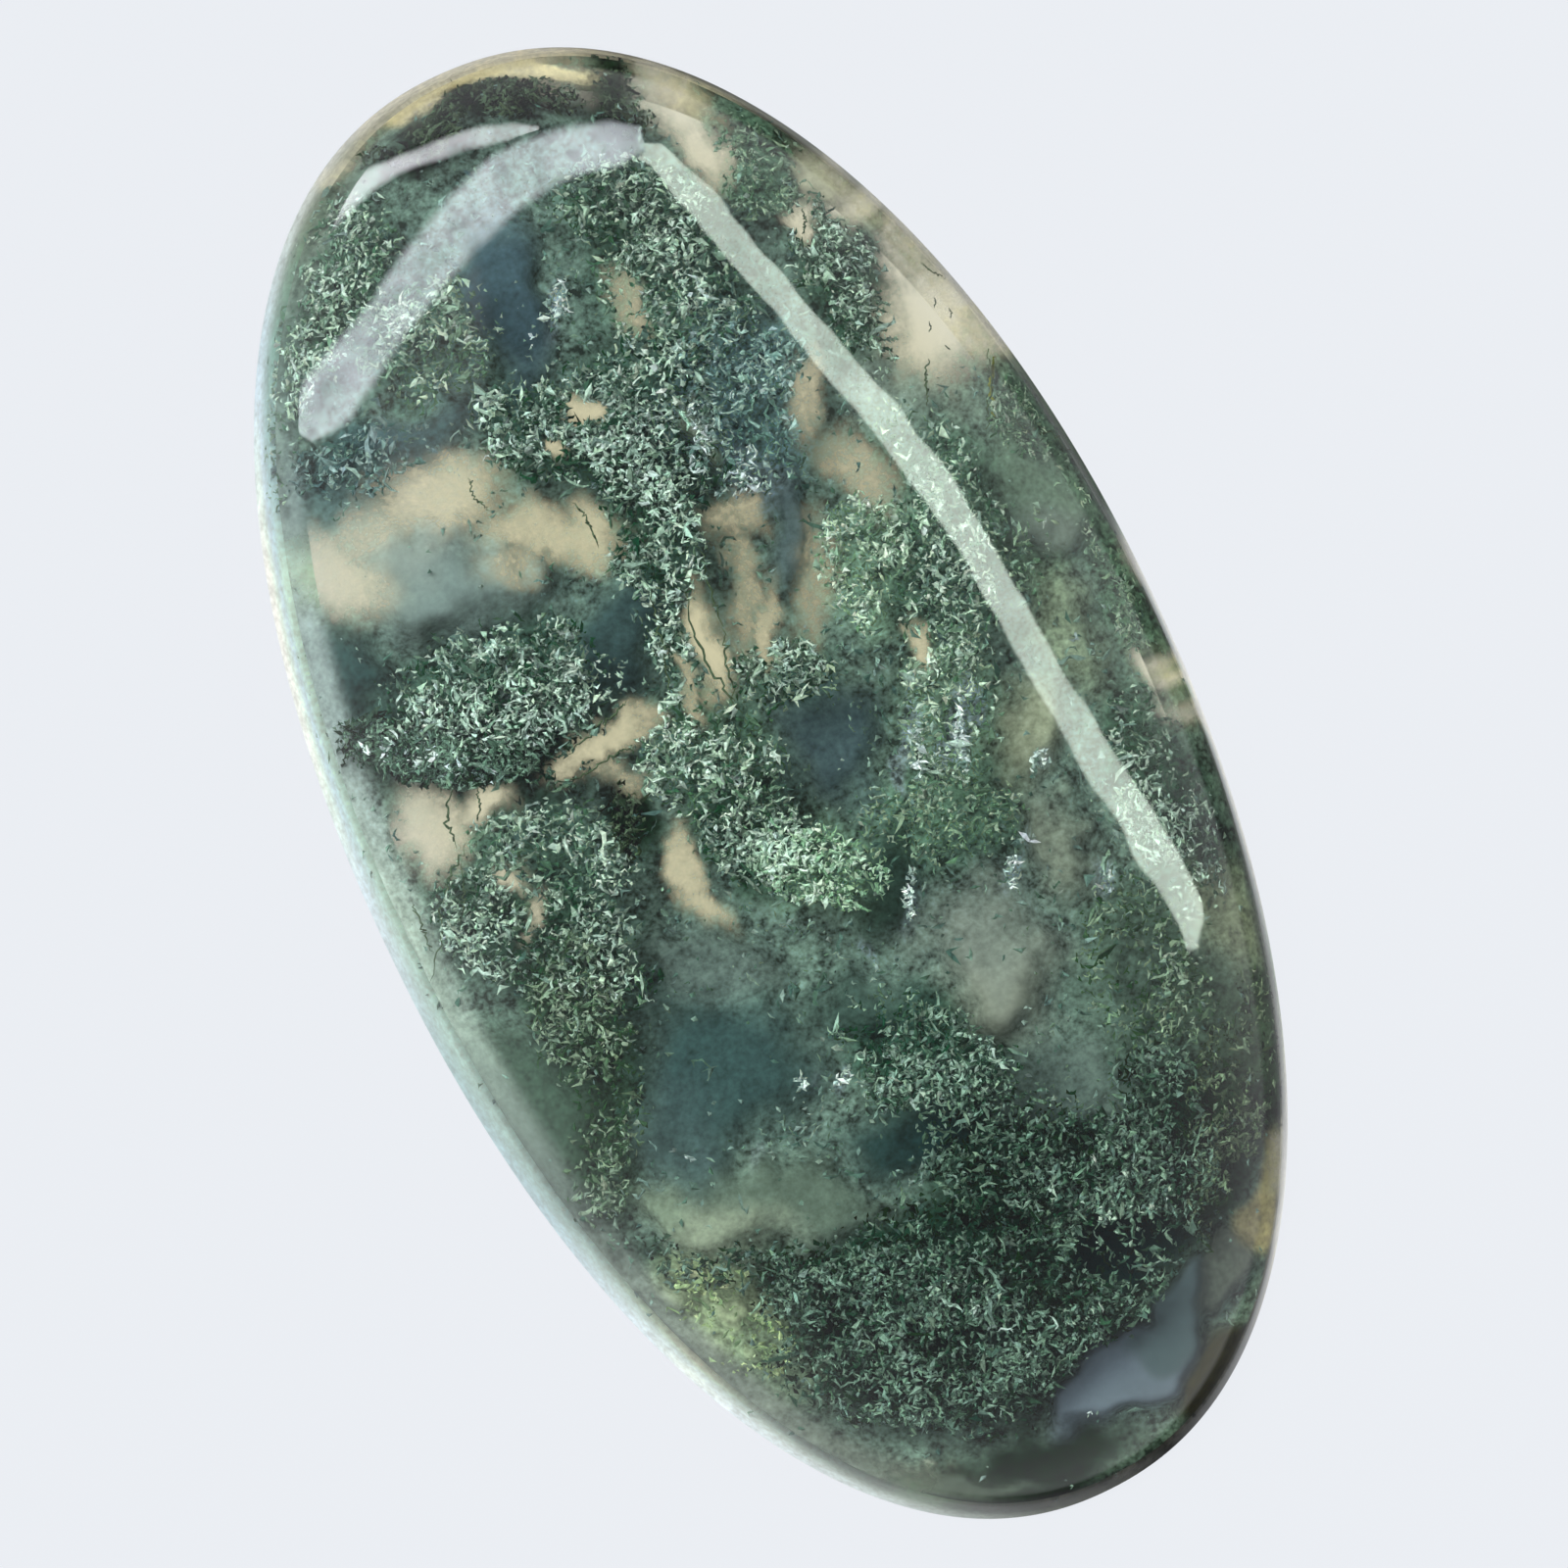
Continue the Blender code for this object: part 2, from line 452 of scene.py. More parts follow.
# Where no deep growth hides the floor, and how clear the stone is there
WINDOWS = {
    "top_edge_left": ((380, 126, 40, 13, -48), 0.35),
    "top_edge_lower": ((346, 174, 24, 12, -40), 0.65),
    "top_edge_middle": ((440, 86, 48, 18, -30), 0.4),
    "top_edge_right": ((520, 66, 60, 15, -8), 0.4),
    "top_edge_far_right": ((572, 78, 34, 22, 10), 0.3),
    "upper_oval": ((684, 108, 40, 27, 60), 1.0),
    "upper_oval_tail": ((720, 150, 38, 19, 65), 0.95),
    "right_rim": ((850, 178, 44, 15, 40), 0.6),
    "right_rim_notch": ((872, 208, 22, 22, 0), 0.85),
    "right_small": ((822, 225, 15, 22, 0), 0.9),
    "right_large": ((955, 322, 58, 42, 70), 1.0),
    "right_large_top": ((925, 262, 50, 20, 60), 0.75),
    "right_large_lower": ((1005, 345, 30, 26, 45), 0.7),
    "middle_tan_left": ((822, 398, 38, 17, 90), 0.52),
    "middle_tan_right": ((878, 480, 44, 28, 45), 0.5),
    "left_top": ((445, 505, 58, 34, -5), 0.8),
    "left_right_arm": ((562, 543, 68, 25, 6), 0.76),
    "left_right_end": ((602, 545, 20, 32, 0), 0.8),
    "left_lower_lobe": ((345, 592, 48, 36, 25), 0.84),
    "left_far": ((308, 570, 26, 24, 0), 0.7),
    "left_join": ((375, 545, 44, 22, -25), 0.5),
    "left_foot": ((525, 578, 30, 18, 10), 0.5),
    "streak_far": ((755, 605, 64, 14, 90), 0.45),
    "streak_near": ((722, 655, 48, 15, 80), 1.0),
    "streak_thin": ((698, 700, 34, 8, 65), 0.5),
    "streak_mid": ((783, 640, 38, 14, 85), 0.64),
    "streak_right": ((828, 600, 60, 18, 90), 0.35),
    "streak_top": ((750, 528, 28, 22, 0), 0.5),
    "bent_bright": ((615, 757, 46, 14, -35), 0.9),
    "bent_pale": ((650, 735, 24, 12, -10), 0.55),
    "bent_foot": ((630, 790, 32, 13, 8), 0.45),
    "lower_left_big": ((440, 848, 40, 28, 75), 0.84),
    "lower_left_small": ((492, 824, 30, 15, -25), 1.0),
    "lower_left_fleck": ((518, 895, 16, 9, -20), 0.85),
    "lower_left_slit": ((546, 932, 22, 8, -70), 0.6),
    "boot_leg": ((701, 882, 34, 13, 88), 0.84),
    "boot_foot": ((718, 925, 28, 14, 30), 0.76),
    "orange_slit": ((936, 660, 24, 10, 80), 0.8),
    "right_edge_cream": ((1163, 572, 34, 11, 62), 0.4),
    "right_edge_yellow": ((1192, 675, 26, 17, 40), 0.9),
    "right_edge_straw": ((1205, 722, 24, 16, 30), 0.6),
    "base_yellow": ((935, 1505, 28, 13, 5), 0.7),
    "right_foot_yellow": ((1298, 1190, 46, 10, 98), 0.4),
    "right_foot_olive": ((1286, 1250, 20, 18, 0), 0.2),
    "belt_spot": ((600, 425, 17, 13, 0), 0.95),
    "belt_spot_low": ((572, 460, 11, 11, 0), 0.85),
    "upper_spot": ((640, 312, 32, 15, 60), 0.5),
    "upper_spot_top": ((628, 285, 16, 10, 60), 0.2),
}

# Smooth parts of the deep growth, and clouds above it: the patch, its colour, how much it covers,
# how soft its edge is, how grainy it is and how high in the stone it lies, in millimetres
HAZE = {
    # Painted light: the cream of the light that comes through the clear stone at the top and the right rim
    "top_window_light": ((450, 82, 100, 15, -31), (226, 210, 162), 1.0, 0.25, 0.05, 1.6),
    "top_window_light_right": ((548, 62, 66, 14, 4), (226, 212, 166), 1.0, 0.25, 0.05, 1.6),
    "right_rim_window_light": ((856, 186, 50, 17, 40), (190, 188, 162), 0.9, 0.35, 0.1, 1.6),
    "upper_left_slate": ((515, 310, 92, 32, 78), (66, 85, 90), 1.0, 0.45, 0.25, 2.0),
    "left_shoulder_slate": ((430, 440, 64, 26, -10), (68, 91, 91), 0.8, 0.5, 0.3, 2.0),
    "left_rim_slate": ((340, 520, 60, 28, -25), (80, 101, 98), 0.8, 0.5, 0.3, 1.8),
    "belt_slate": ((635, 655, 60, 38, 90), (58, 76, 74), 1.0, 0.45, 0.35, 2.0),
    "centre_slate": ((848, 762, 58, 50, 80), (74, 93, 94), 1.0, 0.45, 0.3, 2.0),
    "streak_shadow": ((795, 540, 70, 20, 90), (86, 103, 104), 0.9, 0.5, 0.2, 2.0),
    "low_slate": ((735, 1085, 90, 74, 20), (58, 79, 76), 1.0, 0.5, 0.3, 2.2),
    "low_slate_left": ((690, 1160, 66, 48, 90), (65, 84, 82), 0.9, 0.6, 0.3, 2.2),
    "right_low_slate": ((1145, 1275, 50, 34, 0), (27, 43, 42), 1.0, 0.4, 0.2, 1.8),
    "low_middle_slate": ((930, 1165, 60, 32, -5), (36, 54, 53), 0.9, 0.5, 0.3, 1.8),
    "middle_slate": ((870, 1020, 60, 30, 0), (62, 82, 74), 0.85, 0.6, 0.3, 2.2),
    "middle_slate_top": ((900, 890, 30, 50, 0), (42, 62, 53), 0.85, 0.6, 0.3, 2.2),
    "right_wide_slate": ((1150, 1000, 60, 84, 0), (84, 102, 92), 0.7, 0.6, 0.4, 2.0),
    "cluster_slate": ((1085, 1090, 66, 36, 0), (90, 106, 98), 0.8, 0.5, 0.3, 2.0),
    "boot_slate": ((720, 978, 60, 30, 0), (98, 114, 106), 0.8, 0.5, 0.3, 2.2),
    "left_window_cloud": ((445, 592, 92, 56, 15), (122, 139, 134), 0.95, 0.6, 0.1, 3.0),
    "left_window_cloud_top": ((420, 548, 44, 34, 0), (147, 158, 150), 0.7, 0.9, 0.05, 3.0),
    "left_low_green": ((540, 1130, 90, 52, 55), (64, 84, 71), 0.95, 0.6, 0.3, 2.4),
    "mauve_cloud": ((1022, 1000, 54, 50, 0), (128, 135, 121), 0.95, 0.7, 0.05, 2.6),
    "mauve_cloud_top": ((1000, 950, 54, 44, 0), (128, 138, 128), 0.8, 0.9, 0.15, 2.6),
    "brown_cloud": ((1045, 745, 58, 30, 95), (150, 158, 132), 0.9, 0.6, 0.2, 2.2),
    "right_olive": ((1088, 640, 62, 32, 65), (124, 138, 114), 0.8, 0.7, 0.5, 2.2),
    "olive_patch": ((1080, 862, 44, 32, 60), (128, 138, 122), 0.9, 0.7, 0.3, 2.2),
    "edge_olive": ((1250, 930, 52, 30, 70), (114, 124, 100), 0.9, 0.7, 0.4, 1.8),
    "edge_olive_low": ((1262, 1050, 60, 34, 85), (62, 80, 62), 0.85, 0.8, 0.5, 1.6),
    "leaf_moss": ((738, 1338, 70, 42, 45), (132, 147, 116), 0.9, 0.5, 0.7, 2.0),
    "leaf_moss_low": ((795, 1395, 56, 30, 42), (110, 129, 105), 0.9, 0.5, 0.7, 2.0),
    "blue_haze": ((1146, 1406, 80, 38, -42), (95, 107, 117), 1.0, 0.2, 0.05, 2.6),
    "blue_haze_neck": ((1198, 1342, 54, 26, -52), (74, 88, 92), 1.0, 0.2, 0.05, 2.6),
    "grey_haze_neck": ((1248, 1300, 44, 22, -60), (80, 86, 80), 0.9, 0.3, 0.2, 2.2),
    "olive_lobe": ((1244, 1396, 54, 42, -50), (58, 56, 40), 1.0, 0.2, 0.3, 2.2),
    "base_dark": ((1050, 1500, 120, 34, -12), (18, 30, 18), 0.95, 0.35, 0.5, 1.6),
    # A painted glint along the lower edge
    "base_glint": ((985, 1512, 76, 8, -6), (84, 97, 86), 0.8, 0.5, 0.1, 1.6),
    "right_grey_green": ((1065, 500, 62, 46, 40), (92, 112, 96), 0.9, 0.6, 0.3, 2.2),
    "right_grey": ((1060, 530, 32, 28, 0), (110, 122, 114), 0.8, 0.6, 0.2, 2.2),
    "right_under_window": ((930, 400, 60, 34, 30), (128, 144, 132), 0.8, 0.6, 0.4, 2.0),
    "right_foot_straw": ((1296, 1185, 44, 10, 98), (150, 138, 92), 0.8, 0.4, 0.3, 1.4),
    "right_foot_brown": ((1284, 1250, 26, 20, 98), (164, 152, 108), 0.9, 0.4, 0.3, 1.4),
    "low_tan_cloud": ((790, 1225, 100, 34, 5), (92, 108, 94), 0.9, 0.6, 0.15, 2.2),
    "pale_band": ((714, 445, 12, 36, 0), (204, 220, 219), 0.9, 0.4, 0.3, 3.6),
    "low_tan": ((730, 1250, 64, 25, 8), (140, 152, 130), 0.85, 0.8, 0.2, 2.4),
    "low_tan_left": ((668, 1232, 34, 16, 15), (116, 132, 112), 0.8, 0.8, 0.2, 2.4),
    "leaf_fleck_top": ((712, 1306, 15, 8, 20), (204, 210, 170), 0.9, 0.5, 0.3, 2.4),
    "leaf_fleck_middle": ((742, 1340, 14, 8, 60), (156, 170, 136), 0.9, 0.5, 0.3, 2.4),
    "leaf_fleck_low": ((770, 1386, 14, 8, 40), (140, 156, 124), 0.9, 0.5, 0.3, 2.4),
    "leaf_fleck_left": ((690, 1330, 11, 8, 0), (146, 160, 130), 0.9, 0.5, 0.3, 2.4),
    "left_low_haze": ((350, 690, 60, 40, 60), (34, 60, 62), 0.8, 0.6, 0.3, 2.4),
}

# Pairs of colours for growth, its own greens with painted light over them: painted shade in its gaps and a
# painted highlight at its brightest tips
BRIGHT = ((31, 63, 45), (176, 194, 184))
MEDIUM = ((31, 61, 42), (162, 180, 168))
MIDDLING = ((64, 94, 75), (168, 184, 172))
SOFT = ((76, 104, 84), (134, 151, 134))
BLUISH = ((98, 127, 122), (150, 170, 165))
MINTY = ((54, 84, 63), (190, 206, 194))
MINT = ((108, 142, 114), (182, 198, 184))
FROST = ((112, 130, 126), (206, 216, 218))
DEEP = ((4, 33, 18), (104, 127, 114))
BLACK = ((5, 15, 3), (72, 86, 70))
OLIVE = ((16, 38, 16), (104, 120, 98))
DULL = ((38, 64, 42), (122, 140, 122))
HAZY = ((92, 120, 98), (184, 198, 184))
SHADY = ((58, 84, 80), (128, 147, 144))
FRESH = ((26, 56, 40), (132, 154, 142))
LEAFY = ((92, 110, 80), (152, 168, 128))

# Growth that is seen sharply: the patch, how many threads and grains a square millimetre has, the
# least and most depth in millimetres, and the colours
MOSS = {
    "upper_left": ((345, 290, 95, 55, 100), 90, 0.3, 1.6, MIDDLING),
    "upper_left_low": ((440, 350, 70, 55, -30), 90, 0.3, 1.6, MIDDLING),
    "left_rim": ((290, 420, 90, 26, 95), 70, 0.5, 1.8, MIDDLING),
    "left_shoulder": ((370, 470, 80, 34, -15), 60, 1.0, 2.5, SHADY),
    "top_crest": ((515, 102, 76, 26, 5), 170, 0.5, 2.0, BLACK),
    "top_crest_left": ((435, 134, 66, 22, -28), 150, 0.5, 2.0, BLACK),
    "top_right": ((632, 95, 60, 28, 80), 90, 0.8, 2.6, BLACK),
    "top_right_far": ((775, 165, 70, 48, 55), 70, 0.8, 2.6, SOFT),
    "upper_middle": ((650, 215, 85, 48, 15), 90, 0.4, 1.8, MEDIUM),
    "upper_middle_low": ((690, 300, 80, 60, 30), 70, 0.8, 2.4, MIDDLING),
    "right_spray": ((860, 275, 80, 44, 70), 110, 0.25, 1.2, MEDIUM),
    "right_spray_low": ((880, 350, 40, 30, 60), 70, 0.4, 1.5, MEDIUM),
    "belt_top": ((570, 440, 90, 45, 10), 90, 0.4, 1.8, BRIGHT),
    "belt_middle": ((660, 430, 90, 80, 60), 90, 0.4, 2.2, BRIGHT),
    "belt_right": ((760, 410, 95, 70, 80), 70, 0.8, 2.5, BLUISH),
    "belt_stem": ((665, 545, 75, 45, 70), 100, 0.3, 1.6, BRIGHT),
    "belt_branch": ((680, 645, 90, 20, 70), 90, 0.3, 1.5, BRIGHT),
    "mint_right": ((885, 575, 65, 46, 90), 100, 0.25, 1.3, HAZY),
    "big_left": ((510, 700, 120, 62, -8), 120, 0.25, 1.5, BRIGHT),
    "big_left_low": ((440, 765, 95, 34, 5), 260, 0.15, 0.9, DEEP),
    "big_left_right": ((570, 770, 60, 30, 0), 90, 0.4, 1.8, DEEP),
    "centre_mint": ((725, 770, 75, 62, 30), 100, 0.25, 1.5, MINTY),
    "centre_mint_top": ((800, 690, 52, 34, 0), 90, 0.3, 1.5, MEDIUM),
    "bright_mint": ((832, 878, 70, 42, 20), 120, 0.2, 1.0, MINT),
    "centre_low": ((770, 850, 70, 50, 20), 90, 0.3, 1.5, MEDIUM),
    "right_thin": ((960, 480, 90, 42, 60), 70, 0.4, 1.8, MIDDLING),
    "right_thin_low": ((960, 600, 90, 46, 70), 70, 0.5, 2.0, MIDDLING),
    "right_middle": ((970, 720, 80, 55, 80), 70, 0.5, 2.0, HAZY),
    "right_middle_low": ((960, 830, 80, 50, 0), 70, 0.5, 2.0, SOFT),
    "left_low_thin": ((560, 860, 100, 48, 10), 60, 0.5, 2.2, MIDDLING),
    "left_low": ((555, 960, 110, 60, 20), 100, 0.3, 1.8, MEDIUM),
    "left_low_stem": ((600, 1070, 110, 46, 75), 90, 0.3, 1.5, DULL),
    "left_low_tail": ((600, 1180, 70, 36, 80), 80, 0.4, 1.8, DULL),
    "black_spot": ((642, 838, 36, 22, 75), 90, 0.2, 0.8, BLACK),
    "round_cluster": ((950, 1075, 92, 58, 12), 120, 0.2, 1.2, FRESH),
    "great_mass": ((1050, 1180, 110, 70, 10), 110, 0.3, 1.8, DEEP),
    "great_mass_right": ((1180, 1180, 110, 60, 85), 110, 0.3, 1.8, DEEP),
    "great_mass_low": ((1010, 1290, 160, 70, 0), 110, 0.3, 1.8, DEEP),
    "great_mass_left": ((890, 1330, 110, 60, 10), 110, 0.3, 1.8, DEEP),
    "great_mass_base": ((930, 1410, 150, 48, 8), 110, 0.3, 1.8, DEEP),
    "great_mass_corner": ((1090, 1360, 100, 36, -30), 100, 0.3, 1.8, DEEP),
    "right_rim_top": ((1050, 420, 48, 34, 60), 90, 0.4, 1.6, SOFT),
    "right_rim_middle": ((1115, 520, 90, 26, 62), 80, 0.6, 2.2, SOFT),
    "right_rim_dark": ((1165, 625, 60, 26, 65), 90, 0.4, 2.0, SOFT),
    "right_rim_low": ((1185, 800, 110, 44, 68), 90, 0.4, 2.0, MEDIUM),
    "right_rim_foot": ((1215, 880, 60, 34, 70), 80, 0.4, 2.0, MEDIUM),
    "right_low": ((1170, 990, 90, 60, 70), 70, 0.5, 2.4, DULL),
    "right_low_edge": ((1280, 1080, 100, 28, 92), 80, 0.4, 2.0, OLIVE),
    "right_low_band": ((1245, 1160, 110, 34, 95), 80, 0.4, 2.0, OLIVE),
    "low_band": ((735, 1290, 110, 20, 8), 100, 0.4, 1.6, DEEP),
    "leaf": ((745, 1345, 80, 40, 45), 55, 0.4, 2.0, LEAFY),
    "bar_side": ((1040, 560, 60, 40, 60), 50, 0.8, 2.6, SOFT),
    "mass_light": ((1130, 1220, 60, 46, 0), 16, 0.2, 0.7, MEDIUM),
    "mass_light_low": ((1040, 1330, 90, 34, 0), 12, 0.2, 0.7, MEDIUM),
    "mint_core": ((520, 712, 60, 36, 0), 40, 0.15, 0.5, BRIGHT),
    "big_left_frost": ((440, 768, 76, 20, 8), 34, 0.15, 0.5, FROST),
    "frost_band": ((715, 445, 14, 36, 0), 170, 0.1, 0.35, FROST),
    "frost_band_low": ((760, 480, 50, 26, 20), 34, 0.1, 0.5, FROST),
    "frost_slate": ((560, 330, 12, 44, 20), 60, 0.1, 0.4, FROST),
    "frost_low_1": ((859, 1104, 7, 18, 10), 110, 0.1, 0.4, FROST),
    "frost_low_2": ((818, 1106, 6, 14, 15), 90, 0.1, 0.4, FROST),
    "frost_low_3": ((706, 1172, 8, 14, 0), 60, 0.1, 0.4, FROST),
    "frost_low_4": ((785, 1190, 7, 12, 0), 160, 0.1, 0.4, FROST),
    "frost_mid_1": ((930, 915, 7, 26, 5), 170, 0.1, 0.4, FROST),
    "frost_mid_2": ((890, 955, 8, 10, 0), 180, 0.1, 0.4, FROST),
    "frost_mid_3": ((1030, 900, 7, 24, 10), 170, 0.1, 0.4, FROST),
    "frost_mid_4": ((1046, 855, 7, 14, 15), 80, 0.1, 0.4, FROST),
    "frost_right_1": ((1128, 890, 12, 18, 0), 70, 0.1, 0.4, FROST),
    "frost_right_2": ((1060, 780, 8, 16, 10), 180, 0.1, 0.4, FROST),
    "frost_left_1": ((430, 745, 12, 9, 0), 90, 0.1, 0.4, FROST),
    "frost_left_2": ((500, 790, 12, 9, 0), 80, 0.1, 0.4, FROST),
    "frost_base": ((1105, 1450, 16, 6, -20), 240, 0.1, 0.4, FROST),
    "streak_pale_left": ((935, 760, 8, 50, 4), 110, 0.2, 0.7, FROST),
    "streak_pale_right": ((985, 740, 8, 58, 4), 150, 0.2, 0.7, FROST),
}

# How much haze hides the growth over it, by the first word of the growth's name
HAZE_HIDES = {"": 1.0, "frost": 0.2, "streak": 0.2}
HAZE_HIDES_MOST = 0.85

# Sparse growth everywhere, in a patch as large as the stone
SPARSE = ((795, 795, 800, 432, 64.7), 8, 0.8, 3.2, ((64, 88, 80), (116, 136, 128)))

# Single strands, most of them over the windows: the pixels that each passes, its half width in
# pixels, its depth in millimetres, and its colour if it isn't the usual green
STRAND_GREEN = (66, 80, 62)
STRAND_OLIVE = (104, 108, 56)
STRANDS = {
    "slit_branch": ([(572, 806), (600, 786), (632, 766), (650, 762)], 1.2, 0.6),
    "slit_top": ([(578, 772), (604, 748), (628, 728), (640, 716)], 1.3, 0.6),
    "small_window_branch": ([(462, 804), (456, 826), (457, 846), (466, 860)], 1.3, 0.6),
    "small_window_stem": ([(486, 802), (490, 822), (487, 840)], 1.0, 0.6),
    "left_long": ([(476, 860), (462, 890), (453, 913), (449, 956), (439, 1002)], 1.2, 0.7),
    "left_long_side": ([(470, 880), (474, 920), (466, 960)], 1.0, 0.8),
    "left_short": ([(420, 918), (430, 945), (442, 972)], 1.1, 0.8),
    "stem_first": ([(661, 605), (668, 625), (675, 655), (686, 719)], 1.3, 0.6),
    "stem_second": ([(700, 600), (707, 644), (722, 676), (740, 705), (758, 728)], 1.3, 0.6),
    "stem_third": ([(738, 640), (742, 676), (748, 719)], 1.1, 0.7),
    "stem_fourth": ([(716, 560), (724, 600), (738, 640)], 1.1, 0.8),
    "right_stalk": ([(948, 366), (945, 388), (946, 414)], 1.2, 0.6),
    "right_stalk_pale": ([(1014, 362), (1010, 392), (1016, 428)], 2.2, 0.8, STRAND_OLIVE),
    "right_stalk_dark": ([(1006, 356), (1012, 390), (1006, 440)], 1.1, 0.6),
    "right_crack": ([(1030, 426), (1050, 440), (1076, 444), (1092, 460)], 1.3, 0.5),
    "small_oval_crack": ([(818, 212), (822, 226), (819, 240)], 1.1, 0.6),
    "window_speck_first": ([(953, 303), (955, 309), (953, 314)], 0.8, 0.5),
    "window_speck_second": ([(968, 314), (971, 319), (970, 325)], 0.8, 0.5),
    "window_speck_third": ([(948, 328), (950, 334), (948, 339)], 0.8, 0.5),
    "window_speck_fourth": ([(964, 352), (967, 355), (970, 357)], 0.8, 0.5),
    "window_top_strand": ([(940, 268), (950, 276), (966, 284)], 1.0, 0.6),
    "left_window_top": ([(478, 488), (484, 508), (498, 520)], 1.0, 0.7),
    "left_window_end": ([(586, 512), (600, 530), (612, 560)], 1.1, 0.7),
}
STRAND_STEPS = 24
STRAND_SIDES = 5
STRAND_WANDER = 1.7
STRAND_SHORT = 60
STRAND_DEPTH_WANDER = 0.03 * MM
STRAND_SWELLING = (0.75, 1.3)

# The rim as it is seen through the wall, growth and haze with painted light: its colours next to the outline
# and next to the crease, by the outline's angle from the stone's right side. On the pale side they are
# painted light that comes through the thin edge, and near the top end the painted cream of window light.
RIM = {
    0: ((150, 162, 150), (74, 94, 66)), 8: ((60, 76, 60), (98, 118, 98)),
    21: ((62, 76, 58), (100, 116, 94)), 38: ((64, 78, 62), (66, 84, 68)),
    63: ((82, 78, 60), (200, 194, 158)),
    80: ((200, 188, 150), (205, 194, 156)), 99: ((170, 164, 138), (96, 102, 84)),
    115: ((185, 190, 175), (120, 130, 115)), 130: ((182, 194, 190), (126, 150, 138)),
    151: ((222, 228, 228), (166, 182, 180)), 165: ((215, 225, 226), (164, 180, 176)),
    177: ((190, 198, 192), (166, 182, 170)), 188: ((158, 174, 166), (160, 178, 166)),
    201: ((166, 180, 176), (150, 166, 158)), 218: ((206, 212, 206), (184, 196, 184)),
    243: ((170, 178, 170), (122, 136, 122)), 262: ((60, 66, 52), (60, 68, 54)),
    279: ((20, 18, 8), (28, 32, 24)), 295: ((60, 58, 42), (50, 54, 38)),
    310: ((170, 164, 138), (100, 98, 74)),
    331: ((116, 128, 112), (98, 108, 88)), 346: ((160, 172, 160), (64, 82, 64)),
}

# By the same angle: how much light falls on the rim, how bright the rim's painted light is made on the
# growth just inside the crease, and how light the dark card is next to the stone and farther out
RIM_SIDES = {
    0: (0.30, 1.0, 1.0, 0.15), 8: (0.35, 1.0, 0.05, 0.35), 21: (0.40, 1.0, 0.1, 0.2),
    38: (0.60, 1.0, 0.3, 0.06), 63: (0.75, 1.0, 0.06, 0.06), 99: (0.68, 0.7, 0.5, 0.1),
    130: (0.68, 0.7, 1.0, 1.0),
    151: (0.68, 0.6, 1.0, 1.0), 165: (0.68, 0.9, 1.0, 1.0), 177: (0.68, 1.1, 1.0, 1.0),
    188: (0.68, 0.75, 1.0, 1.0), 201: (0.68, 0.4, 1.0, 1.0), 218: (0.68, 0.38, 1.0, 1.0),
    243: (0.68, 0.5, 1.0, 1.0), 262: (0.60, 0.6, 0.3, 0.3), 279: (0.50, 1.0, 0.02, 0.02),
    310: (0.30, 1.0, 1.0, 0.5), 331: (0.30, 1.0, 0.5, 0.4), 346: (0.25, 1.0, 1.0, 0.15),
}

# Growth is made of short crinkled threads and of grains: how many rings and sides each has, its
# length and radius, and the share of the growth that is of that kind
THREAD = {"rings": 3, "sides": 3, "length": 0.41 * MM, "radius": 0.039 * MM, "share": 0.28}
GRAIN = {"rings": 1, "sides": 4, "length": 0.21 * MM, "radius": 0.050 * MM, "share": 0.72}
DENSITY = 1.7
SIZE_SPREAD = 0.42
RADIUS_POWER = 0.6
RADIUS_SPREAD = (0.75, 1.25)
SWELLING = (0.55, 1.35)
FLATNESS = 0.75
MAX_PIECE_TRIANGLES = 180000
MOSS_FLECKS = 0.12 * MM
MOSS_FLECK_CONTRAST = (1.6, 0.2)

# Growth gathers in clusters and tufts. It is tried at more places than it is kept at, stays out of
# the windows and of the haze, and ends before the rim.
TRIES = 1.5
PATCH_OVERHANG = 1.15
PATCH_SOFTNESS = 0.25
CLUSTER_SIZE = 1.3 * MM
TUFT_SIZE = 0.42 * MM
GATHERED = (0.36, 0.18)
BETWEEN_TUFTS = 0.2
WINDOW_REACH = 1.7
HAZE_POWER = 1.6
DEPTH_POWER = 1.3
GROWTH_END = 0.85 * MM
GROWTH_FADE = 0.3 * MM

# How light a piece of growth is: by chance, by its tuft and cluster and by its depth, deeper pieces darker
# as painted shade under the upper ones. The lightest in each patch go a little beyond the colour of the
# painted highlight at the tips.
LIT_BY_CHANCE = 0.45
LIT_BY_PLACE = 0.4
LIT_BY_DEPTH = -0.3
TIP_TONE = 1.15
TIP_POWER = 1.8
TINT_SPREAD = 0.04

# How noise bends the patches: its size and amount in pixels, and its seed
WINDOW_BEND = (36, 20, SEED + 10)
WINDOW_FINE_BEND = (11, 7, SEED + 14)
MOSS_BEND = (60, 40, SEED + 20)
HAZE_BEND = (60, 36, SEED + 50)


def in_patch(px, py, patch, softness):
    """1 inside the patch and 0 outside, falling over a share of its size."""
    x, y, first, second, turn = patch
    cosine, sine = math.cos(math.radians(turn)), math.sin(math.radians(turn))
    along = ((px - x) * cosine + (py - y) * sine) / first
    across = ((py - y) * cosine - (px - x) * sine) / second
    return smooth_step((1 + softness - np.hypot(along, across)) / (2 * softness))


def warped(px, py, size, amount, seed):
    """These pixels moved by noise, so that a patch's edge isn't a plain oval."""
    places = np.column_stack([px, py, np.zeros(len(px))])
    shift_x = lattice_noise(places, size, seed) + 0.5 * lattice_noise(places, size / 2.7, seed + 1)
    shift_y = lattice_noise(places, size, seed + 2) + 0.5 * lattice_noise(places, size / 2.7, seed + 3)
    return px + amount * (shift_x - 0.75), py + amount * (shift_y - 0.75)


def window_share(px, py, softness):
    px, py = warped(*warped(px, py, *WINDOW_BEND), *WINDOW_FINE_BEND)
    clear = np.zeros(len(px))
    for patch, clearness in WINDOWS.values():
        clear = np.maximum(clear, clearness * in_patch(px, py, patch, softness))
    return clear


